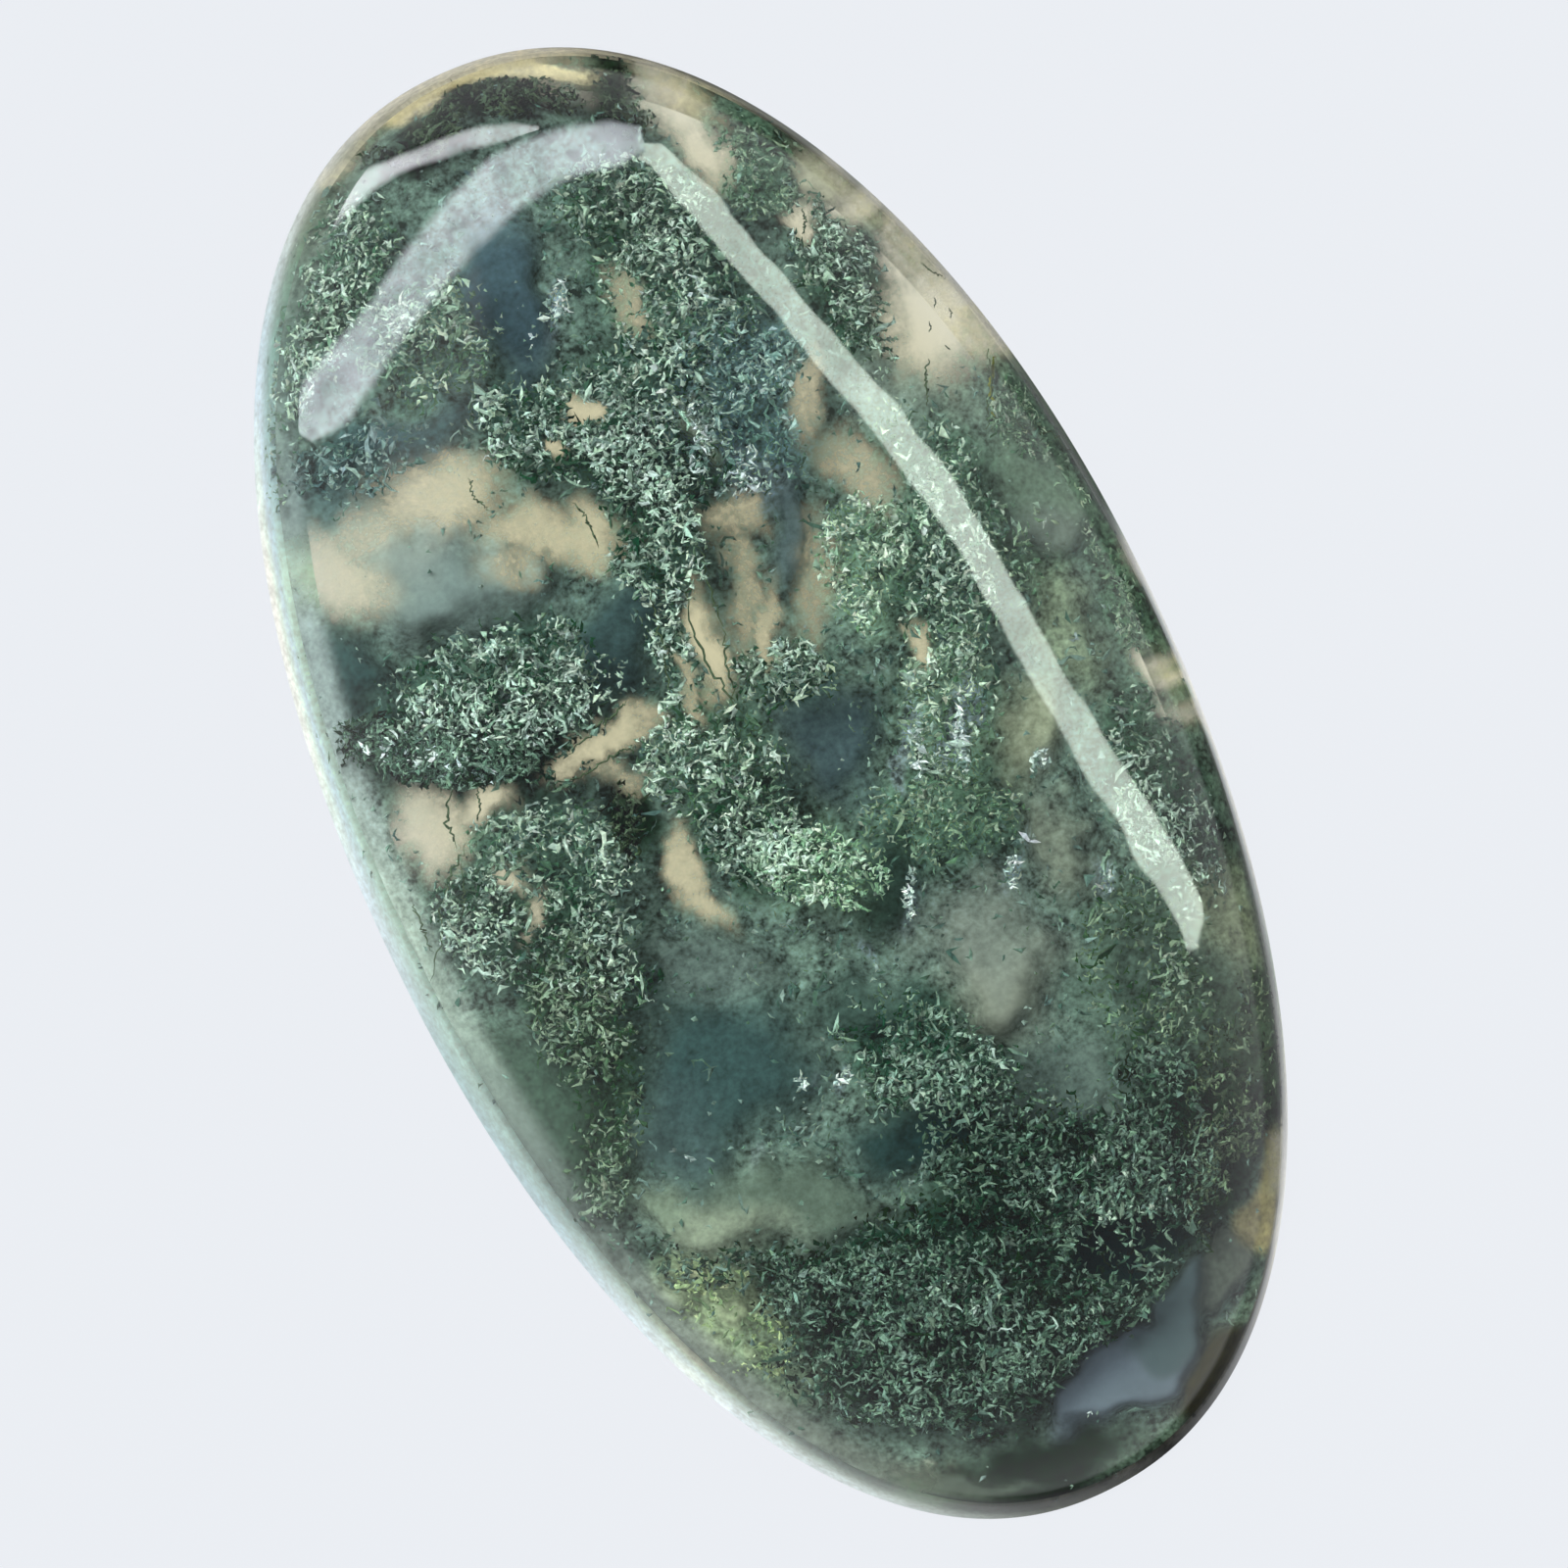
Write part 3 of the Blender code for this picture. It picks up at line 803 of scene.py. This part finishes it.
def haze_share(px, py):
    """How much smooth deep growth and cloud there is, which has few threads over it."""
    px, py = warped(px, py, *HAZE_BEND)
    smooth = np.zeros(len(px))
    for patch, _, cover, softness, grain, _ in HAZE.values():
        smooth = np.maximum(smooth, cover * (1 - grain) * in_patch(px, py, patch, softness))
    return smooth


def random_pixels(patch, count, random):
    """Random pixels in the patch and a little beyond it."""
    x, y, first, second, turn = patch
    radius = np.sqrt(random.random(count)) * PATCH_OVERHANG
    way = random.random(count) * 2 * math.pi
    along, across = first * radius * np.cos(way), second * radius * np.sin(way)
    cosine, sine = math.cos(math.radians(turn)), math.sin(math.radians(turn))
    return x + along * cosine - across * sine, y + along * sine + across * cosine


def growth_places(random):
    """Where each thread or grain is, and its colour, as it is seen from outside, and its depth."""
    places, colours, depths = [], [], []
    for name, (patch, density, least, most, (shaded_gap, lit_tip)) in {**MOSS, "": SPARSE}.items():
        area = math.pi * patch[2] * patch[3] / PIXELS_PER_MM**2
        px, py = random_pixels(patch, int(area * density * DENSITY * TRIES), random)
        hidden = haze_share(px, py) * HAZE_HIDES.get(name.split("_")[0], HAZE_HIDES_MOST)
        in_window = smooth_step(WINDOW_REACH * window_share(px, py, PATCH_SOFTNESS))
        likely = (1 - hidden) ** HAZE_POWER * (1 - in_window)
        likely *= in_patch(*warped(px, py, *MOSS_BEND), patch, PATCH_SOFTNESS)
        deep = random.random(len(px)) ** DEPTH_POWER
        centres, depth = seen_at_depth(px, py, (least + (most - least) * deep) * MM)
        cluster = lattice_noise(centres, CLUSTER_SIZE, SEED + 30)
        tuft = lattice_noise(centres, TUFT_SIZE, SEED + 31)
        gathered = smooth_step((0.5 * cluster + 0.5 * tuft - GATHERED[0]) / GATHERED[1])
        likely *= BETWEEN_TUFTS + (1 - BETWEEN_TUFTS) * gathered
        from_edge = edge_distance(centres[:, 0], centres[:, 1])
        likely *= smooth_step((from_edge - GROWTH_END) / GROWTH_FADE)
        keep = random.random(len(px)) < likely
        # Lightness by chance and by tuft and cluster, less with depth: painted shade on the deeper pieces,
        # painted highlight on the lightest
        lit = LIT_BY_CHANCE * random.random(len(px)) + LIT_BY_PLACE * (tuft + cluster) + LIT_BY_DEPTH * deep
        rank = np.argsort(np.argsort(lit[keep])) / max(1, keep.sum())
        tone = TIP_TONE * rank[:, None] ** TIP_POWER
        colour = linear(shaded_gap) + (linear(lit_tip) - linear(shaded_gap)) * tone
        colour *= np.exp(random.normal(0, TINT_SPREAD, (len(colour), 3)))
        places.append(centres[keep])
        colours.append(colour)
        depths.append(depth[keep])
    return np.concatenate(places), np.concatenate(colours), np.concatenate(depths)


def crinkled(centres, kind, random):
    """(pieces, points, 3) vertices of short closed crinkled tubes, each with two pointed tips."""
    count, rings, sides = len(centres), kind["rings"], kind["sides"]
    joints = rings + 2
    way = random.normal(size=(count, 3))
    steps = []
    for _ in range(joints - 1):
        way = unit(way)
        steps.append(way)
        way = way + random.normal(size=(count, 3))
    line = np.cumsum([np.zeros((count, 3)), *steps], axis=0).transpose(1, 0, 2)
    size = np.exp(random.normal(0, SIZE_SPREAD, count))
    line *= (kind["length"] * size / (joints - 1))[:, None, None]
    line += (centres - line.mean(axis=1))[:, None, :]
    radii = kind["radius"] * size**RADIUS_POWER * random.uniform(*RADIUS_SPREAD, count)
    parts = [line[:, 0]]
    for ring in range(rings):
        along = line[:, ring + 2] - line[:, ring]
        side = unit(np.cross(along, random.normal(size=(count, 3))))
        other = unit(np.cross(along, side))
        swell = random.uniform(*SWELLING, count) * radii
        for corner in range(sides):
            turn = 2 * math.pi * corner / sides
            out = math.cos(turn) * side + FLATNESS * math.sin(turn) * other
            parts.append(line[:, ring + 1] + out * swell[:, None])
    parts.append(line[:, -1])
    return np.stack(parts, axis=1)


def tube_faces(kind):
    rings, sides = kind["rings"], kind["sides"]
    faces = []
    for corner in range(sides):
        after = (corner + 1) % sides
        faces.append((0, 1 + after, 1 + corner))
        for ring in range(rings - 1):
            low, high = 1 + ring * sides, 1 + (ring + 1) * sides
            faces.append((low + corner, low + after, high + after))
            faces.append((low + corner, high + after, high + corner))
        last = 1 + (rings - 1) * sides
        faces.append((last + corner, last + after, 1 + rings * sides))
    return np.array(faces)


def growth_pieces():
    """The sharp threads and grains, joined into a few meshes."""
    random = np.random.default_rng(SEED)
    places, colours, depths = growth_places(random)
    colours = albedo(colours, depths, THREAD_LIGHT)
    is_thread = random.random(len(places)) < THREAD["share"]
    material = growth_material()
    pieces = []
    for label, kind, wanted in (("threads", THREAD, is_thread), ("grains", GRAIN, ~is_thread)):
        shapes = crinkled(places[wanted], kind, random)
        kept = inside(shapes.reshape(-1, 3), GROWTH_MARGIN).reshape(len(shapes), -1).all(axis=1)
        shapes, tints = shapes[kept], colours[wanted][kept]
        faces = tube_faces(kind)
        order = random.permutation(len(shapes))
        parts = math.ceil(len(shapes) * len(faces) / MAX_PIECE_TRIANGLES)
        for number, part in enumerate(np.array_split(order, parts)):
            starts = (np.arange(len(part)) * shapes.shape[1])[:, None, None]
            all_faces = (faces[None] + starts).reshape(-1, 3)
            name = f"moss_{label}_{number + 1}"
            piece = mesh_object(name, shapes[part].reshape(-1, 3), all_faces.tolist())
            add_colours(piece, "tint", np.repeat(tints[part], shapes.shape[1], axis=0))
            piece.data.materials.append(material)
            pieces.append(piece)
    return pieces


def strands():
    """The single strands: tubes that wander a little and thin to both of their ends."""
    random = np.random.default_rng(SEED + 5)
    points, faces, tints = [], [], []
    for line, half, depth, *own_colour in STRANDS.values():
        line = np.array(line, float)
        steps = np.linspace(0, len(line) - 1, STRAND_STEPS)
        length = np.hypot(*np.diff(line, axis=0).T).sum()
        wander = random.normal(0, STRAND_WANDER * min(1, length / STRAND_SHORT), (2, STRAND_STEPS))
        px, py = (np.interp(steps, np.arange(len(line)), line[:, part]) + wander[part] for part in (0, 1))
        uneven = random.normal(0, STRAND_DEPTH_WANDER, STRAND_STEPS)
        middle, deep = seen_at_depth(px, py, depth * MM + uneven)
        along = np.gradient(middle, axis=0)
        side = unit(np.cross(along, CAMERA_BACK))
        other = unit(np.cross(along, side))
        ends = np.sin(np.linspace(0.02, math.pi - 0.02, STRAND_STEPS)) ** 0.5
        swell = random.uniform(*STRAND_SWELLING, STRAND_STEPS)
        radius = (half / PIXELS_PER_MM * MM * ends * swell)[:, None]
        turns = 2 * math.pi * np.arange(STRAND_SIDES) / STRAND_SIDES
        ring = [middle + radius * (math.cos(turn) * side + math.sin(turn) * other) for turn in turns]
        faces.append(ring_faces(STRAND_STEPS, STRAND_SIDES) + len(points) * STRAND_STEPS * STRAND_SIDES)
        points.append(np.stack(ring, axis=1).reshape(-1, 3))
        colour = linear(own_colour[0] if own_colour else STRAND_GREEN)
        tint = albedo(np.tile(colour, (STRAND_STEPS, 1)), deep, THREAD_LIGHT)
        tints.append(np.repeat(tint, STRAND_SIDES, axis=0))
    piece = mesh_object("moss_strands", np.concatenate(points), np.concatenate(faces).tolist())
    piece.data.shade_smooth()
    add_colours(piece, "tint", np.concatenate(tints))
    piece.data.materials.append(bpy.data.materials["moss"])
    return piece


def growth_material():
    shader = Shader("moss")
    strength = shader.maths("MULTIPLY_ADD", shader.noise(MOSS_FLECKS), *MOSS_FLECK_CONTRAST)
    tint = shader.times(shader.attribute("tint", "Color"), strength)
    shader.link(tint, shader.surface.inputs["Base Color"])
    shader.surface.inputs["Roughness"].default_value = 0.6
    shader.surface.inputs["Specular IOR Level"].default_value = 0.1
    return shader.material


# The deep growth: a soft veil in the lower part of the stone, with a rim that is seen through the wall and
# painted pale on its left side with the light that comes through the thin edge

# How the veil is meshed, its own colour, grain and height, how much it takes of each patch's colours, mostly
# the painted shade of the gaps between threads, how uneven its height is, how far it stays under the dome,
# and its tan next to the windows
VEIL_RINGS = 124
VEIL_STEPS = 480
VEIL_HEIGHT = 1.5
VEIL_COLOUR = (90, 109, 97)
VEIL_GRAIN = 0.9
VEIL_SOFTNESS = 0.6
MOSS_SHARE = 0.9
MOSS_SOFTNESS = 0.4
TIP_SHARE = 0.06
UNEVEN_HEIGHT = 0.35
UNEVEN_SIZE = 60
BELOW_DOME = 0.7
LEAST_TOP = 0.9
NEAR_WINDOW_TAN = (136, 139, 114)
NEAR_WINDOW = 0.6
NEAR_WINDOW_SOFTNESS = 1.0

# The deep growth's outer part, by the share of the way out: on the pale side it takes the rim's
# colour, its painted light, and loses most of its grain, and on the other side it darkens at the crease with
# painted shade
FOOT_FROM = 0.92
FOOT_OVER = 0.05
FOOT_BLEND = 0.85
FOOT_SMOOTHS = 0.6
CREASE_FROM = 0.972
CREASE_OVER = 0.02
VEIL_CREASE_SHADE = 0.3

# The rim's rings, as far in from the outline as this in millimetres, and how its colours change
# from the outline to the crease, with a painted light band next to the crease on the pale side and a painted
# dark crease line on the other. What the pale wall mirrors is taken off its own colour.
RIM_INSETS = np.linspace(0.14, 2.0, 14)
RIM_HEIGHT = 0.6 * MM
# The cream painted where windows meet the rim: painted light seen through the clear stone
RIM_WINDOW_LIGHT = (208, 198, 160)
RIM_COVER = 0.95
RIM_GRAIN = 0.2
CREAM_CLEARNESS = 0.65
CREAM_SOFTNESS = 0.35
UP_WALL_FROM = 0.06
UP_WALL_OVER = 1.5
INNER_FROM = 0.35
INNER_OVER = 0.9
CREASE_BAND_FROM = 0.9
CREASE_BAND_OVER = 0.4
CREASE_PAINTED_LIGHT = 0.45
CREASE_PAINTED_SHADE = 0.3
WALL_SHEEN = 0.12
WALL_DEPTH = (1.1, 0.5)

# The middle of the pale side, and where it ends, as the cosine of the angle from its middle
PALE_SIDE = math.radians(182)
PALE_FROM = 0.15
PALE_OVER = 0.35


def deep_veil():
    angle = np.linspace(0, 2 * math.pi, VEIL_STEPS, endpoint=False)
    shares = np.linspace(0, 1, VEIL_RINGS)
    shares[0] = 1e-6
    starts = []
    for share in shares:
        starts.append(ring_at(angle, CREASE_INSET, dome_height(share), share ** (1 / fullness_at(angle))))
    starts = np.concatenate(starts)
    px, py = pixels_of(starts)
    bent_x, bent_y = warped(px, py, *HAZE_BEND)
    colour = np.tile(linear(VEIL_COLOUR), (len(px), 1))
    grain = np.full(len(px), VEIL_GRAIN)
    height = np.full(len(px), VEIL_HEIGHT)
    # Under each growth patch the veil is painted mostly in the gap colour: painted shade between the threads
    for patch, _, _, _, (shaded_gap, lit_tip) in MOSS.values():
        weight = MOSS_SHARE * in_patch(bent_x, bent_y, patch, MOSS_SOFTNESS)
        shaded_behind = (1 - TIP_SHARE) * linear(shaded_gap) + TIP_SHARE * linear(lit_tip)
        colour += (shaded_behind - colour) * weight[:, None]
        grain += (1 - grain) * weight
    for patch, tint, cover, softness, rough, level in HAZE.values():
        weight = cover * in_patch(bent_x, bent_y, patch, softness)
        colour += (linear(tint) - colour) * weight[:, None]
        grain += (rough - grain) * weight
        height += (level - height) * weight
    places = np.column_stack([px, py, 0 * px])
    height += UNEVEN_HEIGHT * (lattice_noise(places, UNEVEN_SIZE, SEED + 40) - 0.5)
    near_window = NEAR_WINDOW * window_share(px, py, NEAR_WINDOW_SOFTNESS)
    colour += (linear(NEAR_WINDOW_TAN) - colour) * near_window[:, None]
    out = np.repeat(shares, VEIL_STEPS)[:, None]
    pale = np.tile(pale_side(angle), (VEIL_RINGS, 1))
    by_rim = np.tile(rim_colours(angle, 1) * by_angle(RIM_SIDES, angle)[:, 1:2], (VEIL_RINGS, 1))
    # The pale side's foot takes the rim's painted light, and the other side gets painted shade at the crease
    at_foot = pale * smooth_step((out - FOOT_FROM) / FOOT_OVER)
    colour += FOOT_BLEND * (by_rim - colour) * at_foot
    grain *= 1 - FOOT_SMOOTHS * at_foot[:, 0]
    colour *= 1 - VEIL_CREASE_SHADE * (1 - pale) * smooth_step((out - CREASE_FROM) / CREASE_OVER)
    ways = bent_ways(starts)
    highest = np.maximum(starts[:, 2] / MM - BELOW_DOME, LEAST_TOP)
    length = (starts[:, 2] - np.minimum(height, highest) * MM) / -ways[:, 2]
    points = starts + ways * length[:, None]
    veil = mesh_object("deep_moss", points, ring_faces(VEIL_RINGS, VEIL_STEPS).tolist())
    veil.data.shade_smooth()
    add_colours(veil, "tint", albedo(colour, length, VEIL_LIGHT))
    add_values(veil, "grain", grain)
    add_values(veil, "cover", 1 - window_share(px, py, VEIL_SOFTNESS))
    veil.data.materials.append(veil_material())
    return veil


def by_angle(table, angle):
    """A table's values at these angles of the outline."""
    stops = sorted(table)
    values = np.array([table[stop] for stop in stops], float)
    columns = [np.interp(np.degrees(angle), stops, column, period=360) for column in values.T]
    return np.stack(columns, axis=-1)


def rim_colours(angle, part):
    return by_angle({stop: linear(tints[part]) for stop, tints in RIM.items()}, angle)


def pale_side(angle):
    """1 on the stone's left side, where the rim is painted pale with the light that comes through the thin
    edge, and 0 where a painted dark crease line ends it.
    """
    return smooth_step((np.cos(angle - PALE_SIDE) - PALE_FROM) / PALE_OVER)[:, None]


# The rim sheet: on the pale side painted light that comes through the thin edge, elsewhere the growth and
# windows seen through the wall
def rim_band():
    angle = np.linspace(0, 2 * math.pi, VEIL_STEPS, endpoint=False)
    outer, inner = rim_colours(angle, 0), rim_colours(angle, 1)
    pale = pale_side(angle)
    light = by_angle(RIM_SIDES, angle)[:, :1]
    points, colours, cover = [], [], []
    for inset in RIM_INSETS:
        points.append(ring_at(angle, inset * MM, RIM_HEIGHT))
        up_wall = min(1, max(0, inset - UP_WALL_FROM) / UP_WALL_OVER)
        height = WIDEST_HEIGHT + (CREASE_HEIGHT - WIDEST_HEIGHT) * up_wall
        px, py = pixels_of(ring_at(angle, CREASE_INSET * up_wall, height))
        shown = outer + (inner - outer) * smooth_step((inset - INNER_FROM) / INNER_OVER)
        # Where windows meet the rim, the cream of the light seen through them is painted on, and the sheet
        # is made clearer
        window_light = (1 - pale) * window_share(px, py, CREAM_SOFTNESS)[:, None]
        shown += (linear(RIM_WINDOW_LIGHT) - shown) * window_light
        shown -= WALL_SHEEN * pale
        # Next to the crease: painted light on the pale side, painted shade of a dark crease line on the
        # other
        crease_light_and_shade = CREASE_PAINTED_LIGHT * pale - CREASE_PAINTED_SHADE * (1 - pale) * (1 - window_light)
        shown *= 1 + crease_light_and_shade * smooth_step((inset - CREASE_BAND_FROM) / CREASE_BAND_OVER)
        depth = (WALL_DEPTH[0] + WALL_DEPTH[1] * inset) * MM
        colours.append(albedo(shown, np.full(len(angle), depth), light))
        cover.append(RIM_COVER * (1 - CREAM_CLEARNESS * window_light[:, 0]))
    faces = ring_faces(len(RIM_INSETS), VEIL_STEPS).tolist()
    rim = mesh_object("rim_haze_and_light", np.concatenate(points), faces)
    rim.data.shade_smooth()
    add_colours(rim, "tint", np.concatenate(colours))
    add_values(rim, "grain", np.full(len(rim.data.vertices), RIM_GRAIN))
    add_values(rim, "cover", np.concatenate(cover))
    rim.data.materials.append(bpy.data.materials["deep_moss"])
    return rim


# The veil's mottle: the size, detail and roughness of its two noises, its contrast, the darkest that
# it makes the veil, and how ragged it makes the windows' edges
MOTTLES = ((0.55 * MM, 3.0, 0.65), (0.16 * MM, 2.0, 0.6))
MOTTLE_CONTRAST = 4.0
MOTTLE_DARKEST = 0.2
RAGGED = 3.2


def veil_material():
    """Mottled where its grain is high, and see-through where its cover is low."""
    shader = Shader("deep_moss")
    mottle = shader.maths("ADD", *(shader.noise(*mottle) for mottle in MOTTLES))
    mottle = shader.maths("SUBTRACT", mottle, 1.0)
    contrast = shader.maths("MULTIPLY", shader.attribute("grain"), MOTTLE_CONTRAST)
    strength = shader.maths("ADD", shader.maths("MULTIPLY", mottle, contrast), 1.0)
    strength = shader.maths("MAXIMUM", strength, MOTTLE_DARKEST)
    tint = shader.times(shader.attribute("tint", "Color"), strength)
    shader.link(tint, shader.surface.inputs["Base Color"])
    cover = shader.attribute("cover")
    partly = shader.maths("MULTIPLY", cover, shader.maths("SUBTRACT", 1.0, cover))
    ragged = shader.maths("MULTIPLY", shader.maths("MULTIPLY", partly, RAGGED), mottle)
    alpha = shader.node("Clamp")
    shader.link(shader.maths("ADD", cover, ragged), alpha.inputs["Value"])
    shader.link(alpha.outputs["Result"], shader.surface.inputs["Alpha"])
    shader.surface.inputs["Roughness"].default_value = 1.0
    shader.surface.inputs["Specular IOR Level"].default_value = 0.0
    return shader.material


# The floor, the lights and the camera

FLOOR_GLOW = (0.806, 0.832, 0.874, 1)
FLOOR_HALF = 3.0
FLOOR_GAP = 0.02 * MM


class Glow(Shader):
    """A material that gives off light of this colour and mirrors nothing."""

    def __init__(self, name, colour):
        super().__init__(name)
        self.surface.inputs["Base Color"].default_value = (0, 0, 0, 1)
        self.surface.inputs["Specular IOR Level"].default_value = 0.0
        self.surface.inputs["Emission Color"].default_value = colour
        self.material.cycles.emission_sampling = "NONE"


def only_mirrored(piece, material):
    """Lets only glossy surfaces see a piece of the stage."""
    piece.data.materials.append(material)
    piece.visible_camera = False
    piece.visible_diffuse = False
    piece.visible_transmission = False


def floor():
    x, y, z = FLOOR_HALF, FLOOR_HALF, -FLOOR_GAP
    corners = np.array([(-x, -y, z), (x, -y, z), (x, y, z), (-x, y, z)])
    piece = mesh_object("floor", corners, [(0, 1, 2, 3)])
    shader = Glow("pale_light_table", FLOOR_GLOW)
    shader.surface.inputs["Base Color"].default_value = (0.02, 0.02, 0.02, 1)
    shader.surface.inputs["Roughness"].default_value = 0.9
    shader.surface.inputs["Emission Strength"].default_value = 1.0
    piece.data.materials.append(shader.material)


# The dark card: how far its rings are from the stone in millimetres, its height, where its glow
# next to the stone changes to the one farther out, and from where it fades into the floor's
CARD_RINGS = (0, 0.3, 0.6, 0.9, 1.5, 3, 6, 9, 11.5, 14)
CARD_HEIGHT = 0.02 * MM
CARD_NEAR = 0.3
CARD_CHANGE = 0.6
CARD_FADE = 0.4


def dark_card():
    """A dark card round the stone's right side, which only the wall and the dome's foot mirror."""
    angle = np.linspace(0, 2 * math.pi, VEIL_STEPS, endpoint=False)
    near, far = by_angle(RIM_SIDES, angle)[:, 2:].T
    points, glow = [], []
    for out in CARD_RINGS:
        points.append(ring_at(angle, -out * MM, CARD_HEIGHT))
        level = near + (far - near) * smooth_step((out - CARD_NEAR) / CARD_CHANGE)
        fade = smooth_step((out / CARD_RINGS[-1] - 1 + CARD_FADE) / CARD_FADE)
        glow.append(level + (1 - level) * fade)
    card = mesh_object("dark_card", np.concatenate(points), ring_faces(len(glow), VEIL_STEPS).tolist())
    add_values(card, "glow", np.concatenate(glow))
    shader = Glow("dark_card", FLOOR_GLOW)
    shader.link(shader.attribute("glow"), shader.surface.inputs["Emission Strength"])
    only_mirrored(card, shader.material)
    card.visible_shadow = False


# The lights whose reflections show: a line of (pixel across, pixel down, half width), how
# much of the width is soft edge, how uneven the light is, its colour and its strength
REFLECTIONS = {
    "long_bar": (
        [(640, 150, 8), (672, 160, 14), (715, 205, 18), (760, 262, 17), (830, 342, 18), (900, 425, 19),
         (960, 502, 19), (1010, 582, 18), (1060, 672, 18), (1110, 760, 19), (1160, 835, 20), (1196, 900, 21),
         (1214, 940, 16), (1217, 968, 6)],
        0.15, 0.35, (0.87, 1.0, 0.89), 10.0,
    ),
    "upper_band": (
        [(312, 446, 12), (322, 430, 28), (336, 408, 36), (362, 372, 33), (392, 330, 30), (422, 290, 31),
         (452, 252, 34), (484, 216, 36), (520, 184, 35), (556, 164, 34), (592, 152, 32), (628, 146, 27),
         (655, 140, 14)],
        0.4, 0.9, (0.86, 0.93, 1.0), 8.6,
    ),
    "thin_arc": (
        [(310, 238, 13), (328, 218, 24), (350, 202, 21), (374, 186, 16), (400, 174, 13), (430, 160, 13),
         (460, 149, 13), (490, 141, 14), (520, 135, 12), (550, 133, 8)],
        0.7, 0.7, (0.93, 0.95, 1.0), 9.6,
    ),
}
LIGHT_DISTANCE = 300 * MM
LIGHT_STEPS = 240
LIGHT_COLUMNS = 21
LIGHT_BEND = (46, 5, SEED + 70)
LIGHT_PATTERNS = ((0.6, 26), (0.4, 11))
LIGHT_BRIGHTEST = 1.4


def mirrored_places(px, py):
    """Points round the stone that are mirrored to the camera at these pixels."""
    points = seen_surface(px, py)
    normals = surface_normals(points[:, 0], points[:, 1])
    ways = unit(points - CAMERA_PLACE)
    out = ways - 2 * (ways * normals).sum(axis=1, keepdims=True) * normals
    return points + out * LIGHT_DISTANCE


def reflected_lights():
    for name, (line, soft, uneven, colour, strength) in REFLECTIONS.items():
        line = np.array(line, float)
        steps = np.linspace(0, len(line) - 1, LIGHT_STEPS)
        px, py, half = (np.interp(steps, np.arange(len(line)), line[:, column]) for column in range(3))
        side = unit(np.column_stack([-np.gradient(py), np.gradient(px)]))
        points, glow = [], []
        for across in np.linspace(-1, 1, LIGHT_COLUMNS):
            place_x, place_y = px + side[:, 0] * half * across, py + side[:, 1] * half * across
            place_x, place_y = warped(place_x, place_y, *LIGHT_BEND)
            places = np.column_stack([place_x, place_y, np.zeros(LIGHT_STEPS)])
            rough = np.full(LIGHT_STEPS, -0.5)
            for number, (share, size) in enumerate(LIGHT_PATTERNS):
                rough += share * lattice_noise(places, size, SEED + 60 + number)
            edge = smooth_step((1 - abs(across)) / soft)
            points.append(mirrored_places(place_x, place_y))
            glow.append(edge * np.clip(1 + uneven * rough, 0, LIGHT_BRIGHTEST))
        index = np.arange(LIGHT_COLUMNS * LIGHT_STEPS).reshape(LIGHT_COLUMNS, LIGHT_STEPS)
        faces = np.stack([index[:-1, :-1], index[:-1, 1:], index[1:, 1:], index[1:, :-1]], axis=-1)
        lamp = mesh_object(name, np.concatenate(points), faces.reshape(-1, 4).tolist())
        add_values(lamp, "glow", np.concatenate(glow))
        shader = Glow(name, (*colour, 1))
        shown = shader.maths("MULTIPLY", shader.attribute("glow"), strength)
        shader.link(shown, shader.surface.inputs["Emission Strength"])
        only_mirrored(lamp, shader.material)


KEY_STRENGTH = 4.5
KEY_SPREAD = math.radians(35)
KEY_LEFT = 0.55
KEY_UP = 0.45


def key_light():
    """A soft light from the upper left, too large and dim to be seen in the polish."""
    data = bpy.data.lights.new("soft_key", "SUN")
    data.energy = KEY_STRENGTH
    data.angle = KEY_SPREAD
    lamp = bpy.data.objects.new("soft_key", data)
    bpy.context.scene.collection.objects.link(lamp)
    towards = Vector(CAMERA_BACK - KEY_LEFT * CAMERA_RIGHT + KEY_UP * CAMERA_UP)
    lamp.rotation_euler = towards.to_track_quat("Z", "Y").to_euler()
    lamp.visible_glossy = False


# The sky's colour at these shares of the way from the horizon to straight above
SKY = ((0.05, (0.86, 0.90, 0.94, 1)), (0.95, (0.24, 0.26, 0.29, 1)))


def studio_world():
    world = bpy.data.worlds.new("soft_studio")
    bpy.context.scene.world = world
    world.use_nodes = True
    nodes, links = world.node_tree.nodes, world.node_tree.links
    place = nodes.new("ShaderNodeTexCoord")
    parts = nodes.new("ShaderNodeSeparateXYZ")
    ramp = nodes.new("ShaderNodeValToRGB")
    for element, (position, colour) in zip(ramp.color_ramp.elements, SKY):
        element.position = position
        element.color = colour
    links.new(place.outputs["Generated"], parts.inputs["Vector"])
    links.new(parts.outputs["Z"], ramp.inputs["Fac"])
    links.new(ramp.outputs["Color"], nodes["Background"].inputs["Color"])


def camera():
    data = bpy.data.cameras.new("camera")
    data.lens = LENS
    data.sensor_width = SENSOR
    data.clip_start = 0.005
    data.clip_end = 10
    piece = bpy.data.objects.new("camera", data)
    bpy.context.scene.collection.objects.link(piece)
    turn = Matrix(np.column_stack([CAMERA_RIGHT, CAMERA_UP, CAMERA_BACK]).tolist()).to_4x4()
    piece.matrix_world = Matrix.Translation(CAMERA_PLACE) @ turn
    bpy.context.scene.camera = piece


camera()
floor()
dark_card()
reflected_lights()
key_light()
studio_world()
bpy.context.scene.view_settings.view_transform = "Standard"

stone = stone_body()
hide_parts("moss_agate")
for piece in [stone, deep_veil(), rim_band(), *growth_pieces(), strands()]:
    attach(piece, "root")
